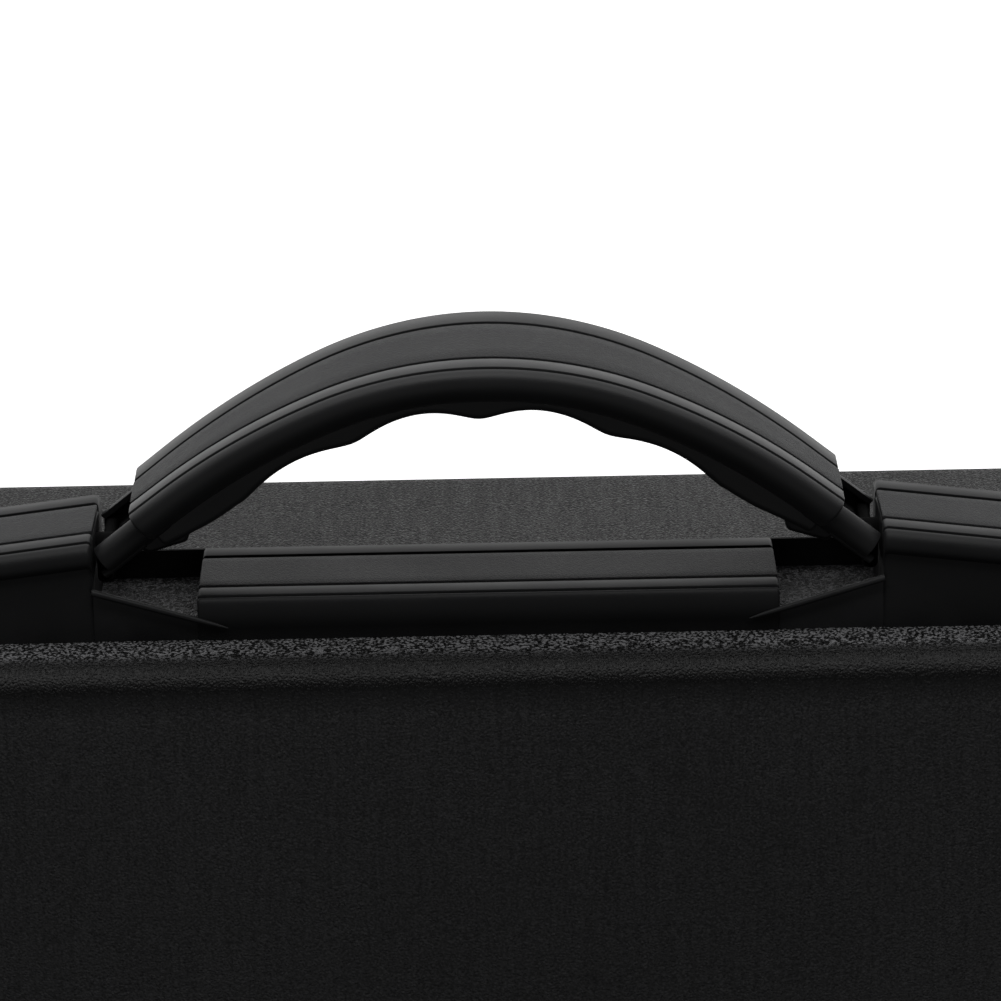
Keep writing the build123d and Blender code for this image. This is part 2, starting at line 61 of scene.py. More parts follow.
WEB_END = ((50, 13.3), (57, 13.45), (66, 13.4), (72, 12.5), (79, 11.2), (90, 10.4))
NECK_OFF, NECK_R, LUG_HALF = 9.9, 3.05, 11.3
LATCH_X, LATCH_HALF, LATCH_PIVOT = 235.0, 22.0, (-2.8, -9.0)
REAR_FOOT_X, REAR_FOOT = (-295.0, -120.0, 120.0, 295.0), 9.0

PARTING = BUMPER_MID + INLAY_HALF + GROOVE / 2
EDGE_TOP = (BUMPER_MID + LID_EDGE + 0.4) * 0.001     # metres: where the lid's wall has turned into its face
FACE_FRONT = WIDTH / 2 + BUMPER_RISE
SHIFT = (HANDLE_RISE - REAR_FOOT) / 2
CROWN_BALL = ((WIDTH / 2) ** 2 + LID_CROWN ** 2) / (2 * LID_CROWN)
STRAIGHT_X, STRAIGHT_Y = LENGTH / 2 - CORNER, WIDTH / 2 - CORNER
QUARTER = math.pi / 2 * CORNER
PERIMETER = 4 * (STRAIGHT_X + STRAIGHT_Y + QUARTER)
CROWN_RUN = CROWN_RADIUS * CROWN_ANGLE
SIDE_RUN = CROWN_RUN + SIDE_RADIUS * (SIDE_ANGLE - CROWN_ANGLE)


def out(rise):
    """Y of a point that stands this far outside the bumper's ribbed face, at the front."""
    return -(FACE_FRONT + rise)


def metres(point):
    return (point[0] * 0.001, (point[1] + SHIFT) * 0.001, point[2] * 0.001)


def lerp(a, b, t):
    return a + (b - a) * t


# ---------------------------------------------------------------- mesh helpers
def object_from(name, points, faces, material, sharp=38.0):
    """A smooth-shaded object from points in millimetres. Edges sharper than this many degrees stay crisp."""
    mesh = bpy.data.meshes.new(name)
    mesh.from_pydata([metres(p) for p in points], [], faces)
    work = bmesh.new()
    work.from_mesh(mesh)
    bmesh.ops.remove_doubles(work, verts=work.verts, dist=2e-6)
    bmesh.ops.dissolve_degenerate(work, edges=work.edges, dist=1e-6)
    bmesh.ops.recalc_face_normals(work, faces=work.faces)
    work.to_mesh(mesh)
    work.free()
    mesh.shade_smooth()
    mesh.set_sharp_from_angle(angle=math.radians(sharp))
    piece = bpy.data.objects.new(name, mesh)
    bpy.context.scene.collection.objects.link(piece)
    mesh.materials.append(material)
    return piece


def place(piece, body, slot, *nodes):
    """Puts a piece on its body, in place of these CAD nodes. The slot is not used."""
    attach(piece, body)
    if nodes:
        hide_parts(*nodes)
    return piece


def make_piece(name, shapes, material, body, slot, nodes=(), sharp=38.0):
    """One object from several (points, faces) shapes."""
    points, faces = [], []
    for shape_points, shape_faces in shapes:
        start = len(points)
        points += shape_points
        faces += [tuple(start + i for i in face) for face in shape_faces]
    return place(object_from(name, points, faces, material, sharp), body, slot, *nodes)


def bevel(piece, width):
    """Rounds an object's crisp edges."""
    tool = piece.modifiers.new("rounded_edges", "BEVEL")
    tool.width = width * 0.001
    tool.segments = 2
    tool.limit_method = "ANGLE"
    tool.angle_limit = math.radians(35.0)
    tool.harden_normals = True


def bridge(rings, loop=False, caps=True):
    """Skin over rings of equal count. A loop joins its last ring to its first, and otherwise the
    ends are capped."""
    points = [p for ring in rings for p in ring]
    count = len(rings[0])
    faces = []
    for i in range(len(rings) if loop else len(rings) - 1):
        a, b = i * count, ((i + 1) % len(rings)) * count
        for j in range(count):
            k = (j + 1) % count
            faces.append((a + j, a + k, b + k, b + j))
    if caps and not loop:
        faces.append(tuple(range(count)))
        faces.append(tuple(len(points) - count + j for j in reversed(range(count))))
    return points, faces


def mirrored(shape):
    """The same shape at the other end of the case."""
    points, faces = shape
    return [(-x, y, z) for x, y, z in points], faces


def arc(cx, cy, radius, start, end, steps):
    """Points on a circle between two angles, in degrees."""
    turns = [math.radians(lerp(start, end, i / steps)) for i in range(steps + 1)]
    return [(cx + radius * math.cos(t), cy + radius * math.sin(t)) for t in turns]


def cubic(ends, count):
    """Points along a cubic curve with these four control points."""
    line = []
    for k in range(count + 1):
        t = k / count
        weights = ((1 - t) ** 3, 3 * (1 - t) ** 2 * t, 3 * (1 - t) * t * t, t ** 3)
        line.append(tuple(sum(m * p[i] for m, p in zip(weights, ends)) for i in (0, 1)))
    return line


def eased(rounding, steps, angle):
    """(distance from an end, shrink) pairs that round that end over, in steps of this many degrees."""
    turns = [math.radians(angle * k) for k in range(steps)]
    return [(rounding * (1 - math.sin(t)), rounding * (1 - math.cos(t))) for t in turns]


def smooth_value(table, x):
    """Value at x on a smooth line through (x, value) pairs."""
    i = max(1, min(len(table) - 3, sum(1 for key, _ in table if key <= x) - 1))
    (x0, y0), (x1, y1), (x2, y2), (x3, y3) = table[i - 1:i + 3]
    t = (x - x1) / (x2 - x1)
    m1 = (y2 - y0) / (x2 - x0) * (x2 - x1)
    m2 = (y3 - y1) / (x3 - x1) * (x2 - x1)
    cubic = (2 * t ** 3 - 3 * t ** 2 + 1) * y1 + (t ** 3 - 2 * t ** 2 + t) * m1
    return cubic + (3 * t ** 2 - 2 * t ** 3) * y2 + (t ** 3 - t ** 2) * m2


def rounded_profile(corners, radius, steps=4):
    """A closed flat profile with its corners rounded. A corner may give its own radius as a third value."""
    line = []
    for i, corner in enumerate(corners):
        here, before, after = (Vector(corners[k][:2]) for k in (i, i - 1, (i + 1) % len(corners)))
        size = corner[2] if len(corner) > 2 else radius
        a, b = before - here, after - here
        size = min(size, a.length * 0.45, b.length * 0.45)
        a, b = a.normalized() * size, b.normalized() * size
        for k in range(steps + 1):
            t = k / steps
            point = here + a * (1 - t) ** 2 + b * t ** 2
            line.append((point.x, point.y))
    return line


def upright(u, v, level):
    """A slab's profile drawn in plan, and its thickness in height."""
    return (u, v, level)


def facing(u, v, level):
    """A slab's profile drawn on the front, and its thickness outwards."""
    return (u, out(level), BUMPER_MID + v)


def slab(profile, start, end, rounding, to_point=upright):
    """A flat profile given thickness from start to end, with the rims of both ends rounded over."""
    cx = sum(p[0] for p in profile) / len(profile)
    cy = sum(p[1] for p in profile) / len(profile)
    reach = max(math.hypot(p[0] - cx, p[1] - cy) for p in profile)
    stops = eased(rounding, 4, 30)
    sign = 1 if end > start else -1
    levels = [(start + sign * shrink, along) for along, shrink in reversed(stops)]
    levels += [(end - sign * shrink, along) for along, shrink in stops]
    rings = []
    for level, shrink in levels:
        scale = 1 - shrink / reach
        rings.append([to_point(cx + (u - cx) * scale, cy + (v - cy) * scale, level) for u, v in profile])
    return bridge(rings)


def lathe(profile, centre, axis, steps):
    """Turns a (radius, height) profile about an axis through centre."""
    frame_up = Vector(axis).normalized()
    side = frame_up.orthogonal().normalized()
    across = frame_up.cross(side)
    rings = []
    for radius, height in profile:
        ring = []
        for k in range(steps):
            turn = 2 * math.pi * k / steps
            spoke = side * math.cos(turn) + across * math.sin(turn)
            ring.append(tuple(Vector(centre) + frame_up * height + spoke * max(radius, 0.01)))
        rings.append(ring)
    return bridge(rings)


def tube(path, radii, steps):
    """A round bar along a path that stays in one plane of constant height, one radius at each of
    its points."""
    rings = []
    for i, (x, y, z) in enumerate(path):
        before, after = path[max(i - 1, 0)], path[min(i + 1, len(path) - 1)]
        way = (Vector(after) - Vector(before)).normalized()
        side = way.cross(Vector((0, 0, 1))).normalized()
        up = side.cross(way)
        ring = []
        for k in range(steps):
            turn = 2 * math.pi * k / steps
            spoke = side * math.cos(turn) * radii[i] + up * math.sin(turn) * radii[i]
            ring.append(tuple(Vector((x, y, z)) + spoke))
        rings.append(ring)
    return bridge(rings)


# ---------------------------------------------------------------- materials
class Finish:
    """A procedural material: short calls that add nodes round one Principled shader."""

    def __init__(self, name, **sockets):
        self.material = bpy.data.materials.new(name)
        self.material.use_nodes = True
        self.tree = self.material.node_tree
        self.shader = self.tree.nodes["Principled BSDF"]
        self.place = self.tree.nodes.new("ShaderNodeTexCoord").outputs["Object"]
        self.bump = None
        for key, value in sockets.items():
            self.shader.inputs[key.replace("_", " ")].default_value = value

    def node(self, kind, links=(), **settings):
        node = self.tree.nodes.new(kind)
        for key, value in settings.items():
            if hasattr(node, key):
                setattr(node, key, value)
            else:
                node.inputs[key.replace("_", " ")].default_value = value
        for source, target in links:
            self.link(source, node.inputs[target])
        return node

    def link(self, source, socket):
        self.tree.links.new(source, socket)

    def stretched(self, x, y, z):
        return self.node("ShaderNodeMapping", [(self.place, "Vector")], Scale=(x, y, z)).outputs["Vector"]

    def noise(self, scale, detail=3.0, at=None, distortion=0.0):
        return self.node("ShaderNodeTexNoise", [(at or self.place, "Vector")], Scale=scale, Detail=detail,
                         Distortion=distortion).outputs["Fac"]

    def cells(self, scale, at=None, feature="F1"):
        return self.node("ShaderNodeTexVoronoi", [(at or self.place, "Vector")], feature=feature,
                         Scale=scale).outputs["Distance"]

    def remap(self, source, low, high, to_low=0.0, to_high=1.0):
        node = self.node("ShaderNodeMapRange", [(source, "Value")])
        for key, value in (("From Min", low), ("From Max", high), ("To Min", to_low), ("To Max", to_high)):
            node.inputs[key].default_value = value
        return node.outputs["Result"]

    def maths(self, operation, first, second):
        node = self.node("ShaderNodeMath", operation=operation)
        for index, value in enumerate((first, second)):
            if isinstance(value, (int, float)):
                node.inputs[index].default_value = value
            else:
                self.link(value, node.inputs[index])
        return node.outputs["Value"]

    def mixed(self, *terms):
        """Sum of (value, share) terms."""
        parts = [self.maths("MULTIPLY", value, share) for value, share in terms]
        total = parts[0]
        for part in parts[1:]:
            total = self.maths("ADD", total, part)
        return total

    def colours(self, source, *stops):
        """Base colour from a value: each stop is (position, (r, g, b))."""
        ramp = self.node("ShaderNodeValToRGB", [(source, "Fac")])
        while len(ramp.color_ramp.elements) < len(stops):
            ramp.color_ramp.elements.new(0.5)
        for element, (position, colour) in zip(ramp.color_ramp.elements, stops):
            element.position = position
            element.color = (*colour, 1.0)
        return ramp.outputs["Color"]

    def worn(self, colour, wear, amount):
        """Lightens a colour along raised edges."""
        edges = self.node("ShaderNodeNewGeometry").outputs["Pointiness"]
        raised = self.remap(edges, 0.52, 0.62, 0.0, amount)
        patchy = self.maths("MULTIPLY", raised, self.remap(self.noise(60.0), 0.35, 0.65))
        return self.blend(patchy, colour, self.colours(patchy, (0.0, wear), (1.0, wear)))

    def blend(self, factor, first, second):
        """The first colour where the factor is 0, the second where it is 1."""
        mix = self.node("ShaderNodeMix", [(factor, 0)], data_type="RGBA")
        self.link(first, mix.inputs[6])
        self.link(second, mix.inputs[7])
        return mix.outputs[2]

    def paint(self, colour):
        self.link(colour, self.shader.inputs["Base Color"])

    def rough(self, source, smooth, coarse, low=0.3, high=0.7):
        """Roughness between two limits, as the source runs from low to high."""
        self.link(self.remap(source, low, high, smooth, coarse), self.shader.inputs["Roughness"])

    def raise_by(self, height, distance, strength=1.0):
        """Adds a bump of this height in millimetres on top of any before it."""
        node = self.node("ShaderNodeBump", [(height, "Height")], Strength=strength,
                         Distance=distance * 0.001)
        if self.bump:
            self.link(self.bump, node.inputs["Normal"])
        self.bump = node.outputs["Normal"]
        self.link(self.bump, self.shader.inputs["Normal"])


def grey(value, blue=1.03):
    """A near-black of this strength, a little towards blue."""
    return (value, value, value * blue)


def shell_plastic(name, gloss, level, glint_gain, edge=None):
    """Moulded plastic with a fine leather grain and faint flow streaks. Its walls carry painted glints,
    specks painted into the colour, more than its face. The level scales the colour as painted light or
    painted shade.
    The edge is a pair of heights in metres between which painted shade darkens the plastic."""
    f = Finish(name, Specular_IOR_Level=gloss)
    bent = f.node("ShaderNodeVectorMath", [(f.place, 0)], operation="ADD")
    shift = f.node("ShaderNodeVectorMath", operation="SCALE", Scale=0.00035)
    wander = f.node("ShaderNodeCombineXYZ", [(f.noise(420.0, 2.0), "X"), (f.noise(390.0, 1.0), "Y")])
    f.link(wander.outputs["Vector"], shift.inputs[0])
    f.link(shift.outputs["Vector"], bent.inputs[1])
    islands = f.cells(2300.0, bent.outputs["Vector"], "SMOOTH_F1")
    grain = f.mixed((islands, -1.0), (f.noise(3300.0, 3.0), 0.45))
    height = f.node("ShaderNodeSeparateXYZ", [(f.place, "Vector")]).outputs["Z"]
    middle_off = f.maths("ABSOLUTE", f.maths("SUBTRACT", height, 0.06), 0.0)
    wall = f.remap(middle_off, 0.058, 0.0635, 1.0, 0.0)
    f.raise_by(f.maths("MULTIPLY", grain, f.remap(wall, 0.0, 1.0, 0.3, 1.0)), 0.7, 0.8)
    streaks = f.noise(55.0, 4.0, f.stretched(16.0, 1.0, 1.0))
    tone = f.mixed((streaks, 0.2), (f.noise(9.0, 2.0), 0.15), (f.noise(1900.0, 1.0), 0.65))
    dark, pale = 0.0036 * level, 0.0112 * level
    plain = f.colours(tone, (0.38, grey(dark)), (0.62, grey(pale)))
    # painted glints: bright and dark specks painted into the walls' colour in place of the grain's glints
    painted_glints = f.colours(f.noise(1700.0, 1.0), (0.47, grey(dark * 0.2, 1.0)), (0.6, grey(pale * glint_gain)))
    colour = f.blend(wall, plain, painted_glints)
    # painted shade: a dark band in the colour round the lid's edge radius, between the edge heights
    if edge:
        low, high = edge
        band = f.maths("MULTIPLY", f.remap(height, low, low + 0.0038), f.remap(height, high, high - 0.0006))
        painted_shade = f.colours(tone, (0.3, grey(0.0008, 1.0)), (0.7, (0.0014, 0.0014, 0.0015)))
        colour = f.blend(band, colour, painted_shade)
    f.paint(f.worn(colour, (0.035, 0.035, 0.036), 0.5))
    f.rough(tone, 0.34, 0.6, 0.38, 0.62)
    return f.material


def satin(name, gloss, fine, swell, patches, shades, wear, rough):
    """A smooth moulding: a fine skin over a faint orange peel, patches of two shades, and rubbed edges."""
    f = Finish(name, Specular_IOR_Level=gloss)
    f.raise_by(f.noise(fine, 2.0), 0.05, 0.5)
    f.raise_by(f.noise(swell[0], 2.0), *swell[1:])
    tone = f.noise(patches, 4.0)
    f.paint(f.worn(f.colours(tone, (0.3, shades[0]), (0.7, shades[1])), *wear))
    f.rough(tone, *rough)
    return f.material


def trim_plastic():
    """Plastic of the bumper."""
    wear = ((0.05, 0.05, 0.052), 0.15)
    shades = ((0.0048, 0.0049, 0.0051), (0.0065, 0.0066, 0.0069))
    return satin("trim_plastic", 0.11, 2400.0, (160.0, 0.12, 0.35), 38.0, shades, wear, (0.46, 0.56))


def inlay_rubber():
    """Matte rubber with a fine pebbled skin."""
    f = Finish("inlay_rubber", Specular_IOR_Level=0.11)
    f.raise_by(f.mixed((f.cells(2300.0), -1.0), (f.noise(5200.0, 2.0), 1.0)), 0.12, 0.7)
    tone = f.mixed((f.noise(900.0, 2.0), 0.5), (f.noise(45.0), 0.5))
    f.paint(f.colours(tone, (0.35, (0.0068, 0.0069, 0.0073)), (0.65, (0.0112, 0.0114, 0.0119))))
    f.rough(tone, 0.52, 0.66)
    return f.material


def grip_rubber():
    """Softer, slightly glossier rubber of the handle."""
    wear = ((0.045, 0.045, 0.046), 0.08)
    shades = ((0.0074, 0.0075, 0.0078), (0.0096, 0.0097, 0.0101))
    return satin("grip_rubber", 0.18, 3400.0, (120.0, 0.15, 0.3), 52.0, shades, wear, (0.44, 0.54))


def brushed_steel():
    f = Finish("brushed_steel", Metallic=1.0)
    brushed = f.noise(900.0, 4.0, f.stretched(0.05, 1.0, 1.0))
    f.raise_by(brushed, 0.03, 0.5)
    f.paint(f.colours(f.noise(140.0, 4.0), (0.3, (0.43, 0.43, 0.44)), (0.7, (0.62, 0.62, 0.63))))
    f.rough(brushed, 0.24, 0.42)
    return f.material


def shade_black_steel():
    """Pivot steel painted near black as painted shade, for the pins and lugs deep in the shoulder's shade.
    """
    f = Finish("shade_black_steel", Specular_IOR_Level=0.03)
    tone = f.noise(300.0, 3.0)
    f.raise_by(tone, 0.05, 0.5)
    f.paint(f.colours(tone, (0.3, (0.0012, 0.0012, 0.0012)), (0.7, (0.0026, 0.0026, 0.0027))))
    f.rough(tone, 0.75, 0.9)
    return f.material


def enamelled_metal():
    """Satin black enamel of the latches and hinges, rubbed bright along its edges."""
    f = Finish("enamelled_metal", Specular_IOR_Level=0.5, Coat_Weight=0.15, Coat_Roughness=0.25)
    f.raise_by(f.noise(1500.0, 3.0), 0.04, 0.5)
    tone = f.noise(70.0, 4.0)
    colour = f.colours(tone, (0.3, (0.014, 0.014, 0.015)), (0.7, (0.021, 0.021, 0.022)))
    f.paint(f.worn(colour, (0.22, 0.21, 0.2), 0.8))
    f.rough(tone, 0.28, 0.42)
    return f.material


def plush_cloth():
    """Short charcoal plush: a dense nap with soft shading where it has been brushed either way."""
    f = Finish("plush_cloth", Roughness=0.95, Specular_IOR_Level=0.1, Sheen_Weight=0.55,
               Sheen_Roughness=0.45,
               Sheen_Tint=(0.62, 0.63, 0.7, 1.0))
    nap = f.maths("ADD", f.noise(2200.0, 3.0, f.stretched(1.0, 1.0, 0.45)), f.cells(1500.0))
    f.raise_by(nap, 0.5, 0.7)
    brushed = f.noise(26.0, 3.0, distortion=0.6)
    tone = f.mixed((nap, 0.35), (brushed, 0.55))
    shades = ((0.4, (0.075, 0.076, 0.088)), (0.62, (0.135, 0.137, 0.155)), (0.8, (0.2, 0.203, 0.226)))
    f.paint(f.colours(tone, *shades))
    return f.material


def webbing():
    """Woven nylon strap, warp and weft a millimetre apart."""
    f = Finish("webbing", Specular_IOR_Level=0.3, Sheen_Weight=0.2, Sheen_Roughness=0.4)
    warp = f.node("ShaderNodeTexWave", [(f.place, "Vector")], bands_direction="X", Scale=160.0,
                  Distortion=0.3)
    weft = f.node("ShaderNodeTexWave", [(f.place, "Vector")], bands_direction="Y", Scale=220.0,
                  Distortion=0.3)
    weave = f.maths("MULTIPLY", warp.outputs["Fac"], weft.outputs["Fac"])
    f.raise_by(weave, 0.3, 0.8)
    threads = f.maths("ADD", weave, f.noise(300.0))
    f.paint(f.colours(threads, (0.3, (0.012, 0.012, 0.013)), (1.2, (0.04, 0.04, 0.042))))
    f.rough(weave, 0.75, 0.55, 0.0, 1.0)
    return f.material


def dark_wood():
    f = Finish("dark_wood", Specular_IOR_Level=0.45, Coat_Weight=0.25, Coat_Roughness=0.2)
    grain = f.noise(120.0, 6.0, f.stretched(0.12, 1.0, 1.0), distortion=0.8)
    f.raise_by(grain, 0.05, 0.5)
    shades = ((0.32, (0.022, 0.009, 0.005)), (0.5, (0.06, 0.026, 0.013)), (0.68, (0.11, 0.052, 0.026)))
    f.paint(f.colours(grain, *shades))
    f.rough(grain, 0.3, 0.45)
    return f.material


# One plastic in two copies: the base's colour painted darker as painted shade, the lid's painted lighter as
# painted light
SHELL = {"base": shell_plastic("base_plastic_painted_darker", 0.06, 0.8, 1.25),
         "lid": shell_plastic("lid_plastic_painted_lighter", 0.14, 1.8, 4.8, (EDGE_TOP - 0.0074, EDGE_TOP + 0.0006))}
TRIM, INLAY_RUBBER, GRIP = trim_plastic(), inlay_rubber(), grip_rubber()
STEEL, ENAMEL, PIVOT = brushed_steel(), enamelled_metal(), shade_black_steel()
PLUSH, WEBBING, WOOD = plush_cloth(), webbing(), dark_wood()


# ---------------------------------------------------------------- the shell's outline
def station(s):
    """Point on the shell's outline and its outward normal, at a distance along it from the middle
    of the front."""
    s = s % PERIMETER
    legs = ((STRAIGHT_X, 0, -WIDTH / 2, 1, 0), (QUARTER, STRAIGHT_X, -STRAIGHT_Y, -90, None),
            (2 * STRAIGHT_Y, LENGTH / 2, -STRAIGHT_Y, 0, 1), (QUARTER, STRAIGHT_X, STRAIGHT_Y, 0, None),
            (2 * STRAIGHT_X, STRAIGHT_X, WIDTH / 2, -1, 0), (QUARTER, -STRAIGHT_X, STRAIGHT_Y, 90, None),
            (2 * STRAIGHT_Y, -LENGTH / 2, STRAIGHT_Y, 0, -1), (QUARTER, -STRAIGHT_X, -STRAIGHT_Y, 180, None),
            (STRAIGHT_X + 1, -STRAIGHT_X, -WIDTH / 2, 1, 0))
    for length, x, y, way, across in legs:
        if s <= length:
            break
        s -= length
    if across is None:
        turn = math.radians(way) + s / CORNER
        return (x + CORNER * math.cos(turn), y + CORNER * math.sin(turn), math.cos(turn), math.sin(turn))
    return (x + way * s, y + across * s, across, -way)


def distances(start, end, step=14.0, fine=2.6):
    """Distances along the outline from start to end, close together round the corners."""
    corners, s = [], STRAIGHT_X
    for side in (2 * STRAIGHT_Y, 2 * STRAIGHT_X, 2 * STRAIGHT_Y, 0):
        corners.append(s)
        s += QUARTER + side
    marks = {start, end}
    spans = [(a, a + QUARTER, fine) for a in corners]
    edges = sorted([start, end] + [e for a in corners for e in (a, a + QUARTER) if start < e < end])
    for a, b in zip(edges, edges[1:]):
        middle = (a + b) / 2
        stride = fine if any(low < middle < high for low, high, _ in spans) else step
        count = max(1, math.ceil((b - a) / stride))
        marks.update(lerp(a, b, k / count) for k in range(count + 1))
    return sorted(marks)


# ---------------------------------------------------------------- shells
def inset_at(height):
    return abs(height - PARTING) * math.tan(DRAFT)


def shell_rings(up, thickness, radius, values, rim=None, puff=0.0):
    """Rings of one skin of a shell, from its rim over the rounded edge in to the case's middle line."""
    sign = 1 if up else -1
    rim = rim or PARTING + sign * GAP

    def face(y):
        if not up:
            return FOOT + thickness
        ball = math.sqrt(CROWN_BALL ** 2 - y * y)
        return BUMPER_MID + LID_EDGE + LID_CROWN - thickness - CROWN_BALL + ball

    rings = []
    for k in range(9):
        ring = []
        for x, y, nx, ny in values:
            z = lerp(rim, face(y) - sign * radius, k / 8)
            d = thickness + inset_at(z)
            ring.append((x - nx * d, y - ny * d, z))
        rings.append(ring)
    for k in range(1, 9):
        turn = math.radians(90 * k / 8)
        ring = []
        for x, y, nx, ny in values:
            d = thickness + inset_at(face(y) - sign * radius) + radius * (1 - math.cos(turn))
            px, py = x - nx * d, y - ny * d
            ring.append((px, py, face(py) - sign * radius * (1 - math.sin(turn))))
        rings.append(ring)
    edge = rings[-1]
    for k in range(1, 13):
        t = 1 - k / 12
        ring = []
        for x, y, _ in edge:
            middle = max(-STRAIGHT_X, min(STRAIGHT_X, x))
            swell = sign * puff * (1 - t ** 4)
            ring.append((lerp(middle, x, t), y * t, face(y * t) - swell))
        rings.append(ring)
    return rings


def make_shell(name, up, radius):
    values = [station(s) for s in distances(0, PERIMETER)[:-1]]
    outer = shell_rings(up, 0.0, radius, values)
    inner = shell_rings(up, WALL, radius - WALL + (0.6 if up else 0.0), values)
    skin = bridge(list(reversed(inner)) + outer, caps=False)
    body = "lid" if up else "base"
    return make_piece(name + "_moulding", [skin], SHELL[body], body, "shell_black", [name])


# ---------------------------------------------------------------- bumper
def shoulder_rise(s):
    """How far the bumper's face stands above its usual level, at a distance along the front."""
    x = abs(s if s < PERIMETER / 2 else s - PERIMETER)
    if x < SHOULDER_X - 0.01:
        return 0.0
    fall = SHOULDER_RISE - (x - SHOULDER_X) * math.tan(SHOULDER_SLOPE)
    return max(0.0, (fall + math.sqrt(fall * fall + 0.8)) / 2 - 0.016)


def bead_edge(face_end, side, proud):
    """A bumper bead: from the thin line beside the banded face, round its nose, to the skirt under it."""
    start, first = (-0.35, face_end + 0.65), (-0.2, face_end + 1.9 + 1.4 * proud)
    second, last = (-3.4 - 1.4 * proud, face_end + 2.5 + 1.5 * proud), (-7.2 + 1.8 * proud, SKIRT - 0.1)
    return [(out_by, side * up_by, 1) for out_by, up_by in cubic((start, first, second, last), 18)]


def bumper_section(up, proud):
    """Closed section of the base's or the lid's bumper: (out from its face, up from its middle,
    rises with face)."""
    side = 1 if up else -1
    foot = FOOT_RISE
    joint = INLAY_HALF + GROOVE / 2
    channel = INLAY_HALF - EASE + LINE
    band_end = FACE_HALF - GROOVE
    if up:
        line = [(foot, joint + GAP, 0), (-4.0, joint + GAP, 1), (-0.28, channel, 1)]
    else:
        line = [(foot, joint - GAP, 0), (-4.0, joint - GAP, 1), (-INLAY - 0.05, joint - GAP, 1),
                (-INLAY - 0.05, -channel, 1), (-0.28, -channel, 1)]
    line += [(-0.07, side * (channel + 0.07), 1), (0.0, side * (channel + 0.25), 1)]
    line += [(0.0, side * (band_end - 0.24), 1), (-0.07, side * (band_end - 0.07), 1),
             (-0.24, side * band_end, 1),
             (-1.5, side * (band_end + 0.03), 1), (-1.5, side * (band_end + 0.65), 1)]
    line += bead_edge(band_end, side, proud)
    return line + [(-8.4, side * (SKIRT - 0.2), 1), (foot, side * (SKIRT - 0.4), 0)]


def inlay_section():
    """Section of the rubber strip, a little crowned, its edges eased."""
    half = INLAY_HALF - EASE
    line = [(-INLAY, -half, 1), (-0.3, -half, 1), (-0.1, -half + 0.08, 1), (-0.03, -half + 0.28, 1)]
    line += [(0.0, b, 1) for b in (-5.0, -2.5, 0.0, 2.5, 5.0)]
    return line + [(-0.03, half - 0.28, 1), (-0.1, half - 0.08, 1), (-0.3, half, 1), (-INLAY, half, 1)]


def along_front(section, start, end, rounding=0.9):
    """Sweeps a section round the case between two distances, its ends eased over."""
    stops = [(v, 0.0) for v in distances(start, end, 5.0) if start + rounding < v < end - rounding]
    for along, shrink in eased(rounding, 6, 18):
        stops += [(start + along, shrink), (end - along, shrink)]
    level = max(0.0, min(b for _, b, _ in section))     # the lid's section keeps its joint face at its ends
    rings = []
    for s, shrink in sorted(set(stops)):
        x, y, nx, ny = station(s)
        rise = shoulder_rise(s)
        ring = []
        for a, b, moves in section:
            reach = BUMPER_RISE + a
            if moves:
                reach = (reach + rise) * (1 - shrink / (BUMPER_RISE + rise))
            height = level + (b - level) * (1 - shrink / SKIRT)
            ring.append((x + nx * reach, y + ny * reach, BUMPER_MID + height))
        rings.append(ring)
    return bridge(rings)


def front_wall(corners, low, high):
    """An upright thin wall of the front bumper, drawn in plan as (x, rise), with its rims eased."""
    profile = rounded_profile([(x, out(rise)) for x, rise in corners], 0.5, 2)
    return slab(profile, low, high, 0.3)


def pocket_floor(low, high):
    """The grained panel at the bottom of a handle pocket, curving up a little where it meets the strip."""
    rows = []
    for k in range(13):
        x = lerp(STRIP_X - 3.0, SHOULDER_X + 1.5, k / 12)
        near = max(0.0, 1 - abs(x - STRIP_X + 3.0) / 6.0)
        rise = POCKET_FLOOR + 0.9 * near ** 2
        rows.append([(x, out(-BUMPER_RISE - 0.6), low), (x, out(rise), low), (x, out(rise), high),
                     (x, out(-BUMPER_RISE - 0.6), high)])
    return bridge(rows)


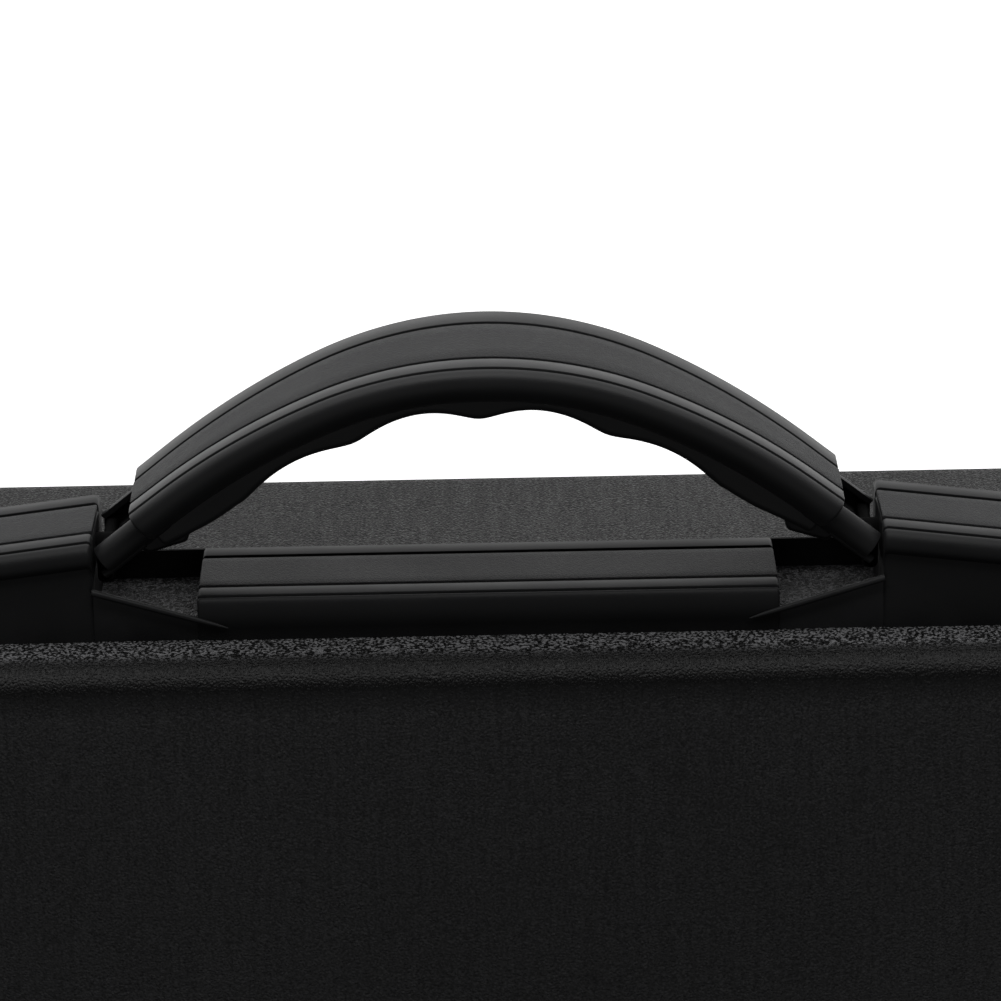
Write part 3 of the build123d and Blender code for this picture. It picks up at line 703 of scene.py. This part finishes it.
def make_bumpers():
    strip = (-STRIP_X, STRIP_X)
    shoulder = (SHOULDER_X, LATCH_X - LATCH_HALF - 2.5)
    around = (LATCH_X + LATCH_HALF + 2.5, PERIMETER - LATCH_X - LATCH_HALF - 2.5)
    low, high = BUMPER_MID - SKIRT, BUMPER_MID + SKIRT
    foot = FOOT_RISE
    stop = front_wall([(STRIP_X - 0.4, foot), (SHOULDER_X + 2, foot), (SHOULDER_X + 2, STOP_RISE),
                       (STRIP_X - 0.4, STOP_RISE)], low + 0.6, low + 1.5)
    slope = (NOTCH_HIGH - NOTCH_LOW) / (SHOULDER_X + 1 - NOTCH_X)
    near = NOTCH_LOW + (STRIP_X - 1 - NOTCH_X) * slope - 0.5
    notch = front_wall([(STRIP_X - 1, foot), (SHOULDER_X + 1.6, foot), (SHOULDER_X + 1.6, NOTCH_HIGH),
                        (STRIP_X - 1, near)], high - SKIRT_WALL - 0.4, high - 0.36)
    edge = [(x, out(NOTCH_LOW + (x - NOTCH_X) * slope - 0.25), high + 0.55)
            for x in (NOTCH_X + 0.5, NOTCH_X + 3, NOTCH_X + 7, 66.0, SHOULDER_X - 2, SHOULDER_X + 0.2)]
    lip = tube(edge, [0.12, 0.4, 0.62, 0.66, 0.66, 0.66], 14)
    for name, up, walls in (("base_bumper", False, [stop]), ("lid_bumper", True, [notch, lip])):
        flat, full = bumper_section(up, 0.0), bumper_section(up, 1.0)
        side = along_front(full, *shoulder, 1.1)
        shapes = [along_front(flat, *strip, 0.8), side, mirrored(side), along_front(full, *around, 0.8)]
        shapes += walls + [mirrored(wall) for wall in walls]
        make_piece(name + "_moulding", shapes, TRIM, "lid" if up else "base", "trim_black", [name])
    joint = (PARTING - BUMPER_MID - GAP, PARTING - BUMPER_MID + GAP)
    for name, body, z0, z1 in (("base", "base", low + 0.5, BUMPER_MID + joint[0]),
                               ("lid", "lid", BUMPER_MID + joint[1], high - 1.0)):
        panel = pocket_floor(z0, z1)
        # The pocket floors take the lid's copy of the plastic, painted lighter as painted light.
        make_piece(f"pocket_floor_{name}", [panel, mirrored(panel)], SHELL["lid"], body, "shell_black")
    rubber = inlay_section()
    end = SHOULDER_X + SHOULDER_RISE / math.tan(SHOULDER_SLOPE)
    right = along_front(rubber, SHOULDER_X + 0.2, end - 0.3, 0.3)
    front = along_front(rubber, end + 0.1, shoulder[1], 0.3)
    rows = (("strip_inlay", [along_front(rubber, *strip, 0.5)]), ("shoulder_inlay_right", [right]),
            ("shoulder_inlay_left", [mirrored(right)]),
            ("bumper_inlay", [front, mirrored(front), along_front(rubber, *around, 0.5)]))
    for name, shapes in rows:
        make_piece(name + "_strip", shapes, INLAY_RUBBER, "base", "rubber_black", [name])


# ---------------------------------------------------------------- handle
def arch_point(t, depth=0.0):
    """X and Y on the handle's arch, this far along its face from the crown and this deep below it."""
    size = abs(t)
    angle = min(size, CROWN_RUN) / CROWN_RADIUS + max(0.0, min(size, SIDE_RUN) - CROWN_RUN) / SIDE_RADIUS
    run = max(0.0, size - SIDE_RUN)
    first = min(angle, CROWN_ANGLE)
    x = CROWN_RADIUS * math.sin(first) + SIDE_RADIUS * (math.sin(angle) - math.sin(first))
    drop = CROWN_RADIUS * (1 - math.cos(first)) + SIDE_RADIUS * (math.cos(first) - math.cos(angle))
    x += run * math.cos(angle) - depth * math.sin(angle)
    drop += run * math.sin(angle) + depth * math.cos(angle)
    return (math.copysign(x, t), out(HANDLE_RISE - drop))


HANDLE_RUN = SIDE_RUN + (HANDLE_END - arch_point(SIDE_RUN)[0]) / math.cos(SIDE_ANGLE)


def grip_half(t):
    return smooth_value(GRIP_HALVES, abs(arch_point(t)[0]))


def web_depth(t):
    """Depth of the finger web's underside: wide hollows for the fingers between narrow rounded bumps."""
    t -= FINGER_SHIFT
    inner = min(abs(t), CROWN_RUN) * (1 - GRIP_DEPTH / CROWN_RADIUS)
    inner += max(0.0, abs(t) - CROWN_RUN) * (1 - GRIP_DEPTH / SIDE_RADIUS)
    if inner > 2 * FINGER_PITCH:
        return smooth_value(WEB_END, abs(t))
    index = round(inner / FINGER_PITCH)
    away = abs(inner - index * FINGER_PITCH) / (FINGER_PITCH / 2)
    near = 1 - math.sqrt(away * away + 0.04) + 0.02
    return WEB_HOLLOW + (3.55, 2.75, 2.5)[index] * max(0.0, near) ** 2


def grip_section(half, depth):
    """Closed section of the grip: (across from its middle, depth below its face)."""
    start, first, second, last = (half + 0.6, 0.35), (half + 3.9, 0.7), (half + 3.5, 5.6), (half - 1.1, 7.6)
    under = cubic((start, first, second, last), 20)
    under += [(10.6, 7.7), (9.3, 7.8), (8.75, 8.1), (WEB_HALF, 8.7)]
    under += [(WEB_HALF, depth - 1.5), (WEB_HALF - 0.2, depth - 0.75), (WEB_HALF - 0.75, depth - 0.2),
              (WEB_HALF - 1.5, depth)]
    sides = []
    for edge in (GRIP_EDGE, FAR_EDGE):
        channel = half - edge + LINE - EASE
        face = [(channel, INLAY + 0.05), (channel, 0.28), (channel + 0.07, 0.07), (channel + 0.25, 0.0)]
        face += [(half - 0.26, 0.0), (half - 0.07, 0.07), (half, 0.26), (half + 0.02, 1.8),
                 (half + 0.6, 1.8)]
        sides.append(face + under)
    return sides[0] + [(-w, d) for w, d in reversed(sides[1])]


def along_arch(section_at, end, rounding, middle=5.0, step=1.3):
    """Sweeps a section that changes along the handle's arch, its ends eased over."""
    count = math.ceil((end - rounding) / step)
    stops = [(lerp(-(end - rounding), end - rounding, k / (2 * count)), 0.0) for k in range(2 * count + 1)]
    for along, shrink in eased(rounding, 6, 18)[1:]:
        stops += [(end - along, shrink), (along - end, shrink)]
    rings = []
    for t, shrink in sorted(stops):
        ring = []
        for w, d in section_at(t):
            w *= 1 - shrink / 16.0
            d = middle + (d - middle) * (1 - shrink / 8.0)
            ring.append((*arch_point(t, d), BUMPER_MID + w))
        rings.append(ring)
    return bridge(rings)


def handle_inlay_section(t):
    sides = []
    for edge in (GRIP_EDGE, FAR_EDGE):
        half = grip_half(t) - edge - EASE
        sides.append([(half, INLAY), (half, 0.3), (half - 0.08, 0.1), (half - 0.28, 0.02),
                      (half * 0.5, 0.0)])
    return sides[0] + [(-w, d) for w, d in reversed(sides[1])]


def half_pipe(start, end, side):
    """A neck of the handle: a half pipe that opens towards the other neck, from one point to
    another in plan."""
    way = (Vector(end) - Vector(start)).normalized()
    across = Vector((way.y, -way.x))
    outer = [(NECK_R * math.cos(a),
              NECK_R * math.sin(a)) for a in (math.radians(k * 15 - 105) for k in range(15))]
    inner = [(p * 0.6, q * 0.6) for p, q in reversed(outer)]
    rings = []
    for t in (0.0, 0.25, 0.5, 0.75, 1.0):
        base = Vector(start).lerp(Vector(end), t)
        ring = []
        for p, q in outer + inner:
            spot = base + across * q
            ring.append((spot.x, spot.y, BUMPER_MID + side * (NECK_OFF + p)))
        rings.append(ring)
    return bridge(rings)


def make_handle():
    grip = along_arch(lambda t: grip_section(grip_half(t), web_depth(t)), HANDLE_RUN, 0.7)
    make_piece("handle_grip_moulding", [grip], GRIP, "handle", "rubber_grip", ["handle_grip"])
    plate = along_arch(handle_inlay_section, HANDLE_RUN - 0.15, 0.35, INLAY)
    make_piece("handle_inlay_strip", [plate], INLAY_RUBBER, "handle", "rubber_black", ["handle_inlay"])

    x0, y0 = arch_point(HANDLE_RUN - 4.0, 5.2)
    x1, y1 = SHOULDER_X - 2.2, out(PIVOT_RISE) - 0.4
    shapes = []
    for side in (-1, 1):
        shapes.append(half_pipe((x0, y0), (x1, y1), side))
        shapes.append(tube([(lerp(x0, x1, t), lerp(y0, y1, t) + 2.6, BUMPER_MID + side * (NECK_OFF + 1.2))
                            for t in (0.3, 0.5, 0.7, 0.9, 1.0)], [0.95] * 5, 12))
    rise = PIVOT_RISE
    lug = [(SHOULDER_X - 4.0, out(rise - 4.0)), (SHOULDER_X - 0.85, out(rise - 4.0)),
           (SHOULDER_X - 0.85, out(rise + 2.9)), (SHOULDER_X - 4.0, out(rise + 2.6))]
    yoke = slab(rounded_profile(lug, 1.4), BUMPER_MID - LUG_HALF, BUMPER_MID + LUG_HALF, 0.8)
    # The lugs take the pivot steel, painted near black as painted shade.
    make_piece("handle_yokes", [yoke, mirrored(yoke)], PIVOT, "handle", "trim_black")
    bar = [arch_point(t, d) for t, d in ((HANDLE_RUN - 2, 3.4), (HANDLE_RUN + 3, 3.4), (HANDLE_RUN + 3, 8.0),
                                         (HANDLE_RUN - 2, 8.0))]
    shapes.append(slab(rounded_profile(bar, 1.2), BUMPER_MID - NECK_OFF, BUMPER_MID + NECK_OFF, 0.4))
    tab = [(58.6, 12.0), (59.3, 9.4), (67.4, 6.9), (70.5, 9.5), (66.5, 16.0)]
    shapes.append(slab(rounded_profile([(x, out(r)) for x, r in tab], 0.7), BUMPER_MID - 8, BUMPER_MID + 8,
                       0.5))
    band = along_arch(lambda t: [(6.2, 4.2), (6.2, 7.2), (-6.2, 7.2), (-6.2, 4.2)], HANDLE_RUN - 1, 0.3)
    make_piece("handle_frame", shapes + [mirrored(s) for s in shapes] + [band], TRIM, "handle", "trim_black",
               ["handle_core"])


# ---------------------------------------------------------------- latches
def latch_profile(points, x0, x1, rounding=0.35, radius=0.6, steps=4):
    """A profile of (rise, height) corners run across the latch."""
    flat = rounded_profile([(p[0], p[1], *p[2:]) for p in points], radius, steps)
    return slab(flat, x0, x1, rounding, lambda rise, height, level: (level, out(rise), BUMPER_MID + height))


def screw_head(x, rise, height):
    head = [(0.0, 0.0), (2.1, 0.0), (2.1, 0.25), (1.7, 0.62), (0.9, 0.8), (0.9, 0.45), (0.0, 0.45)]
    return lathe(head, (x, out(rise), BUMPER_MID + height), (0, -1, 0), 24)


def pressed_face(x, low, high, front):
    """The flat of a latch's plate or keeper."""
    face = [(x - LATCH_HALF, low), (x + LATCH_HALF, low), (x + LATCH_HALF, high), (x - LATCH_HALF, high)]
    return slab(rounded_profile(face, 2.2), -13.0, front, 0.7, facing)


def latch_lever(x):
    rise, height = LATCH_PIVOT
    barrel = [(a, b, 0.02) for a, b in arc(rise, height, 2.7, 58.8, -249.4, 18)]
    plate = [(rise - 0.95, 14.4), (rise + 0.2, 17.6), (rise + 2.2, 19.0), (rise + 3.35, 18.6),
             (rise + 3.35, 16.6),
             (rise + 2.6, 15.2), (rise + 1.4, 12.6)]
    profile = barrel + [(a, b, 0.9) for a, b in plate]
    shapes = [latch_profile(profile, x - 15.4, x + 15.4, 0.8, 0.6, 3)]
    for k in range(4):
        level = 11.2 - 2.6 * k
        rib = [(rise + 1.0, level - 0.75), (rise + 1.9, level - 0.35), (rise + 1.9, level + 0.35),
               (rise + 1.0, level + 0.75)]
        shapes.append(latch_profile(rib, x - 11.5, x + 11.5, 0.5, 0.3, 2))
    return shapes


def latch_plate(x):
    """The pressed plate on the base with its two ears, and four screw heads."""
    height = LATCH_PIVOT[1]
    shapes = [pressed_face(x, -15.0, PARTING - 0.6 - BUMPER_MID, -6.6)]
    for side in (-1, 1):
        ends = sorted((x + side * 15.9, x + side * 19.5))
        ear = [(-8.0, height - 4.6, 0.3), (-5.8, height - 3.4, 1.0), (-2.6, height - 3.1, 2.6),
               (0.0, height - 1.4, 2.6), (0.0, height + 1.4, 2.6), (-2.6, height + 3.1, 2.6),
               (-5.8, height + 4.4, 1.0), (-8.0, height + 6.0, 0.3)]
        shapes.append(latch_profile(ear, *ends, 0.5, 1.0))
        shapes += [screw_head(x + side * 19.0, -6.65, level) for level in (-12.2, 5.0)]
    return shapes


def latch_keeper(x):
    shapes = [pressed_face(x, PARTING + 0.6 - BUMPER_MID, 21.4, -6.8)]
    hook = [(-7.4, 10.6), (-6.2, 11.5), (-4.9, 11.6), (-4.5, 12.4), (-4.5, 14.4), (-5.3, 14.4), (-5.9, 14.0),
            (-7.4, 14.6)]
    shapes.append(latch_profile(hook, x - 11, x + 11, 0.5, 0.5))
    shapes += [screw_head(x + side * 18.4, -6.85, 15.0) for side in (-1, 1)]
    return shapes


def make_latches():
    for side, name in ((-1, "left"), (1, "right")):
        make_piece(f"latch_lever_{name}_pressing", latch_lever(side * LATCH_X), ENAMEL, f"lever_{name}",
                   "latch_black", [f"latch_lever_{name}"])
    both = (-LATCH_X, LATCH_X)
    make_piece("latch_plate_pressings", sum((latch_plate(x) for x in both), []), ENAMEL, "base",
               "latch_black",
               ["latch_plates"])
    make_piece("latch_keeper_pressings", sum((latch_keeper(x) for x in both), []), ENAMEL, "lid",
               "latch_black",
               ["latch_keepers"])


# ---------------------------------------------------------------- hinges, pins and feet
def finish_cad_node(name, material, width):
    """A CAD part whose shape is right: it keeps its mesh, and gets a finish and eased edges."""
    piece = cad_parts[name]
    piece.data.materials.clear()
    piece.data.materials.append(material)
    bevel(piece, width)


def make_feet():
    pad = [(0.0, FOOT), (11.6, FOOT), (12.6, FOOT - 0.3), (13.0, FOOT - 1.0), (13.0, 1.3), (12.7, 0.5),
           (12.0, 0.06),
           (11.0, 0.0), (9.0, 0.0), (8.7, 0.4), (8.1, 0.4), (7.8, 0.0), (5.6, 0.0), (5.3, 0.4), (4.2, 0.5),
           (4.0, 2.2),
           (0.0, 2.2)]
    shapes = [lathe(pad, (x, y, 0), (0, 0, 1), 64) for x in (-300, 300) for y in (-72, 72)]
    make_piece("base_foot_pads", shapes, INLAY_RUBBER, "base", "rubber_black", ["base_feet"], 30.0)
    stud = [(0.0, -0.4), (9.0, -0.4), (9.0, 5.6), (8.8, 7.4), (8.1, 8.5), (6.9, 9.0), (5.2, 9.0), (4.9, 8.6),
            (4.3, 8.6), (4.0, 9.0), (0.0, 9.0)]
    shapes = [lathe(stud, (x, FACE_FRONT, BUMPER_MID - 2.5), (0, 1, 0), 48) for x in REAR_FOOT_X]
    make_piece("rear_foot_studs", shapes, INLAY_RUBBER, "base", "rubber_black", ["rear_feet"], 30.0)


def make_metalwork():
    for name in ("latch_pins", "hinge_pins"):
        finish_cad_node(name, STEEL, 0.3)
    # The handle's pins take the pivot steel, painted near black as painted shade.
    for name in ("handle_pin_right", "handle_pin_left"):
        finish_cad_node(name, PIVOT, 0.3)
    for name in ("hinge_rivets_base", "hinge_rivets_lid", "bow_screws"):
        finish_cad_node(name, STEEL, 0.45)
    for name in ("hinge_leaves_base", "hinge_leaves_lid"):
        finish_cad_node(name, ENAMEL, 0.25)


# ---------------------------------------------------------------- padding
BED_TOP, LINING, LOWER_BOUT, UPPER_BOUT, WAIST = 88.0, 2.5, 108.0, 90.0, 72.0
LOWER_X, UPPER_X, NECK_HALF, BED_END, PARTITION = 262.0, 92.0, 28.0, -18.0, 8.0
CRADLE_X, BOW_Y, SPINNER_X = (-112.0, -72.0), 52.0, -262.0
FRAMES = 20


def relax(work, rounds):
    """Evens out a mesh."""
    for _ in range(rounds):
        bmesh.ops.smooth_vert(work, verts=work.verts, factor=0.5, use_axis_x=True, use_axis_y=True,
                              use_axis_z=True)


def foam_block(node, voxel, ease, body):
    """A foam piece remeshed from its CAD solid, drawn in a little so that it has room to swell."""
    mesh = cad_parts[node].data.copy()
    mesh.materials.clear()
    work = bmesh.new()
    work.from_mesh(mesh)
    bmesh.ops.remove_doubles(work, verts=work.verts, dist=1e-5)
    work.to_mesh(mesh)
    work.free()
    piece = bpy.data.objects.new(node + "_padding", mesh)
    bpy.context.scene.collection.objects.link(piece)
    remesh = piece.modifiers.new("remesh", "REMESH")
    remesh.mode = "VOXEL"
    remesh.voxel_size = voxel * 0.001
    apply_modifiers(piece)
    work = bmesh.new()
    work.from_mesh(piece.data)
    relax(work, 2)
    work.normal_update()
    for vertex in work.verts:
        vertex.co -= vertex.normal * ease * 0.001
    work.to_mesh(piece.data)
    work.free()
    piece.data.materials.append(PLUSH)
    return place(piece, body, "plush", node)


def apply_modifiers(piece):
    """Keeps the piece's shape as its modifiers leave it, and removes them."""
    graph = bpy.context.evaluated_depsgraph_get()
    shaped = bpy.data.meshes.new_from_object(piece.evaluated_get(graph))
    piece.modifiers.clear()
    piece.data = shaped


def inflate(pieces):
    """Swells each foam piece as a pressurised cloth, no further than its own limit in millimetres."""
    rest = {}
    for piece, limit, pressure in pieces:
        rest[piece.name] = [v.co.copy() for v in piece.data.vertices]
        cloth = piece.modifiers.new("cloth", "CLOTH")
        cloth.settings.use_pressure = True
        cloth.settings.uniform_pressure_force = pressure
        cloth.settings.effector_weights.gravity = 0.0
        cloth.settings.quality = 4
        cloth.point_cache.frame_end = FRAMES
    for step in range(1, FRAMES + 1):
        bpy.context.scene.frame_set(step)
    for piece, limit, pressure in pieces:
        apply_modifiers(piece)
        for vertex, start in zip(piece.data.vertices, rest[piece.name]):
            move = vertex.co - start
            if move.length > limit * 0.001:
                vertex.co = start + move.normalized() * limit * 0.001
    bpy.context.scene.frame_set(1)


def soften(pieces):
    """Evens out a foam piece's skin and smooths it."""
    for piece, _, _ in pieces:
        work = bmesh.new()
        work.from_mesh(piece.data)
        relax(work, 3)
        work.to_mesh(piece.data)
        work.free()
        piece.data.shade_smooth()
        grown = piece.modifiers.new("smooth_skin", "SUBSURF")
        grown.levels = grown.render_levels = 1
        apply_modifiers(piece)


def make_lining(name, up, outer_radius, inner_radius, rim, puff):
    values = [station(s) for s in distances(0, PERIMETER)[:-1]]
    outer = shell_rings(up, WALL + 0.12, outer_radius, values, rim)
    inner = shell_rings(up, WALL + LINING, inner_radius, values, rim, puff)
    sign = 1 if up else -1
    hem = [(Vector(p) + Vector(q)) / 2 for p, q in zip(inner[0], outer[0])]
    edge = [(p.x, p.y, p.z - sign * 0.9) for p in hem]
    skin = bridge(list(reversed(inner)) + [edge] + outer, caps=False)
    body = "lid" if up else "base"
    piece = make_piece(name + "_cloth", [skin], PLUSH, body, "plush", [name], 80.0)


def hollow_edge():
    """Half of the instrument hollow's outline in plan, from the neck to the tail end."""
    neck = math.asin(NECK_HALF / UPPER_BOUT)
    up_end = math.pi - math.asin(WAIST / UPPER_BOUT)
    low_start = math.asin(WAIST / LOWER_BOUT)
    line = [(x, NECK_HALF) for x in (BED_END + 1, -10.0, -3.0)]
    line += [(UPPER_X - UPPER_BOUT * math.cos(a), UPPER_BOUT * math.sin(a))
             for a in (lerp(neck, up_end, k / 24) for k in range(25))]
    line += [(LOWER_X - LOWER_BOUT * math.cos(a), LOWER_BOUT * math.sin(a))
             for a in (lerp(low_start, math.pi, k / 40) for k in range(41))]
    return line


def make_piping():
    """A welt sewn round the rim of the hollow and along the neck trench."""
    for name, side in (("front", -1), ("rear", 1)):
        path = [(x, side * (y + 0.6), BED_TOP - 1.3) for x, y in hollow_edge()]
        trench = [(x, side * (NECK_HALF + 0.6), BED_TOP - 1.3) for x in (-246.0, -180.0, -120.0, -60.0,
                                                                         BED_END - 1)]
        shapes = [tube(path, [1.7] * len(path), 12), tube(trench, [1.7] * len(trench), 12)]
        make_piece(f"bed_piping_{name}", shapes, WEBBING, "base", "strap_black")


def make_neck_strap():
    """Flat woven strap that holds the instrument's neck, with a stitched tab at each end."""
    mid, reach = sum(CRADLE_X) / 2, NECK_HALF + PARTITION
    rings = []
    for k in range(37):
        y = lerp(-reach, reach, k / 36)
        lift = 0.35 * math.cos(math.pi * y / (2 * reach))
        low, high = BED_TOP + 0.1 + lift, BED_TOP + 1.3 + lift
        corners = ((-14, low + 0.35), (-13.6, low), (13.6, low), (14, low + 0.35), (14, high - 0.35),
                   (13.6, high), (-13.6, high), (-14, high - 0.35))
        rings.append([(mid + x, y, z) for x, z in corners])
    strap = make_piece("neck_strap_webbing", [bridge(rings)], WEBBING, "base", "strap_black", ["neck_strap"])
    shapes = []
    for y in (4 - reach, reach - 4):
        corners = ((-15, -3.5), (15, -3.5), (15, 3.5), (-15, 3.5))
        outline = rounded_profile([(mid + u, y + v) for u, v in corners], 1.5)
        shapes.append(slab(outline, BED_TOP + 1.6, BED_TOP + 3.3, 0.5))
        for k in range(9):
            x = mid - 12.4 + 3.1 * k
            for row in (y - 2.4, y + 2.4):
                stitch = [(x + u, row, BED_TOP + v) for u, v in ((-0.95, 3.25), (0, 3.5), (0.95, 3.25))]
                shapes.append(tube(stitch, [0.2, 0.3, 0.2], 8))
    make_piece("neck_strap_tabs", shapes, WEBBING, "base", "strap_black", ["neck_strap_anchors"])


def make_bow_holders():
    """Two turned wooden buttons in the lid that swing over the bows."""
    under = PARTING + 7
    for name, side in (("front", -1), ("rear", 1)):
        y = side * (BOW_Y - 15)
        half = [(SPINNER_X + x, y + w) for x, w in ((-22, -5.2), (-12, -5.9), (0, -5.4), (12, -5.9),
                                                    (22, -5.2),
                                                    (22, 5.2), (12, 5.9), (0, 5.4), (-12, 5.9), (-22, 5.2))]
        button = slab(rounded_profile(half, 5.0, 8), under - 5.4, under - 0.6, 1.5)
        make_piece(f"bow_holder_{name}_button", [button], WOOD, f"holder_{name}", "wood_dark",
                   [f"bow_holder_{name}"])


FOAM = (("body_floor", 5.0, 0.8, 1.6, 3.0), ("body_foam_front", 5.0, 1.0, 2.2, 4.0),
        ("body_foam_rear", 5.0, 1.0, 2.2, 4.0), ("end_partition", 3.5, 0.8, 1.6, 4.0),
        ("neck_wall_front", 3.5, 0.8, 1.6, 4.0), ("neck_wall_rear", 3.5, 0.8, 1.6, 4.0),
        ("neck_bed", 5.0, 1.0, 2.4, 4.0), ("neck_cradle", 3.0, 0.8, 1.8, 4.0),
        ("suspension_pads", 3.0, 1.2, 3.0, 4.0), ("bow_rest", 3.0, 0.8, 0.8, 2.0),
        ("bow_tip_pockets", 1.5, 0.2, 0.3, 1.0))


def make_padding():
    pieces = []
    for node, voxel, ease, limit, pressure in FOAM:
        body = "lid" if node.startswith("bow") else "base"
        pieces.append((foam_block(node, voxel, ease, body), limit, pressure))
    inflate(pieces)
    soften(pieces)
    make_lining("base_lining", False, BASE_FILLET - WALL, 4.0, BED_TOP + 8, 0.0)
    make_lining("lid_lining", True, LID_FILLET - WALL + 0.6, 2.5, PARTING + GAP + 0.1, 0.4)
    make_piping()
    make_neck_strap()
    make_bow_holders()


# ---------------------------------------------------------------- studio
def make_stage():
    floor = Finish("studio_floor", Roughness=0.9, Specular_IOR_Level=0.1)
    floor.paint(floor.colours(floor.noise(2.0), (0.3, (0.9, 0.9, 0.9)), (0.7, (0.93, 0.93, 0.93))))
    floor.shader.inputs["Emission Color"].default_value = (1.0, 1.0, 1.0, 1.0)
    floor.shader.inputs["Emission Strength"].default_value = 1.0
    corners = [(x * 6000.0, y * 6000.0, 0.0) for x, y in ((-1, -1), (1, -1), (1, 1), (-1, 1))]
    sheet = object_from("studio_ground", corners, [(0, 1, 2, 3)], floor.material)


def area_light(name, spot, target, size, power):
    lamp = bpy.data.lights.new(name, "AREA")
    lamp.shape = "RECTANGLE"
    lamp.size, lamp.size_y = size
    lamp.energy = power
    holder = bpy.data.objects.new(name, lamp)
    holder.location = metres(spot)
    way = Vector(metres(target)) - Vector(metres(spot))
    holder.rotation_euler = way.to_track_quat("-Z", "Y").to_euler()
    bpy.context.scene.collection.objects.link(holder)


def make_lights():
    area_light("front_softbox", (0, -1450, 560), (0, -100, 100), (2.6, 0.8), 28.0)
    area_light("overhead_fill", (0, 600, 2200), (0, 0, 100), (2.0, 2.0), 5.0)
    world = bpy.data.worlds.new("studio_world")
    world.use_nodes = True
    sky = world.node_tree.nodes["Background"]
    sky.inputs["Color"].default_value = (0.97, 0.98, 1.0, 1.0)
    sky.inputs["Strength"].default_value = 0.08
    bpy.context.scene.world = world
    bpy.context.scene.view_settings.view_transform = "Standard"


def make_camera():
    """Looks down on the front edge from above the lid, with the case turned a little in the picture."""
    tilt, roll = math.radians(20.0), math.radians(1.1)
    forward = Vector((0, math.sin(tilt), -math.cos(tilt)))
    right = Vector((-1, 0, 0))
    up = Vector((0, -math.cos(tilt), -math.sin(tilt)))
    turned_right = right * math.cos(roll) - up * math.sin(roll)
    turned_up = right * math.sin(roll) + up * math.cos(roll)
    lens = bpy.data.cameras.new("camera")
    lens.sensor_width = 36.0
    lens.lens = 36.0 * 5.0 / 1.001
    lens.clip_end = 50.0
    camera = bpy.data.objects.new("camera", lens)
    turn = Matrix((turned_right, turned_up, -forward)).transposed()
    camera.matrix_world = Matrix.Translation(metres((-2.75, -489.26, 1031.24))) @ turn.to_4x4()
    bpy.context.scene.collection.objects.link(camera)
    bpy.context.scene.camera = camera


make_camera()
make_lights()
make_stage()
make_shell("base_shell", False, BASE_FILLET)
make_shell("lid_shell", True, LID_FILLET)
make_bumpers()
make_handle()
make_latches()
make_metalwork()
make_feet()
make_padding()
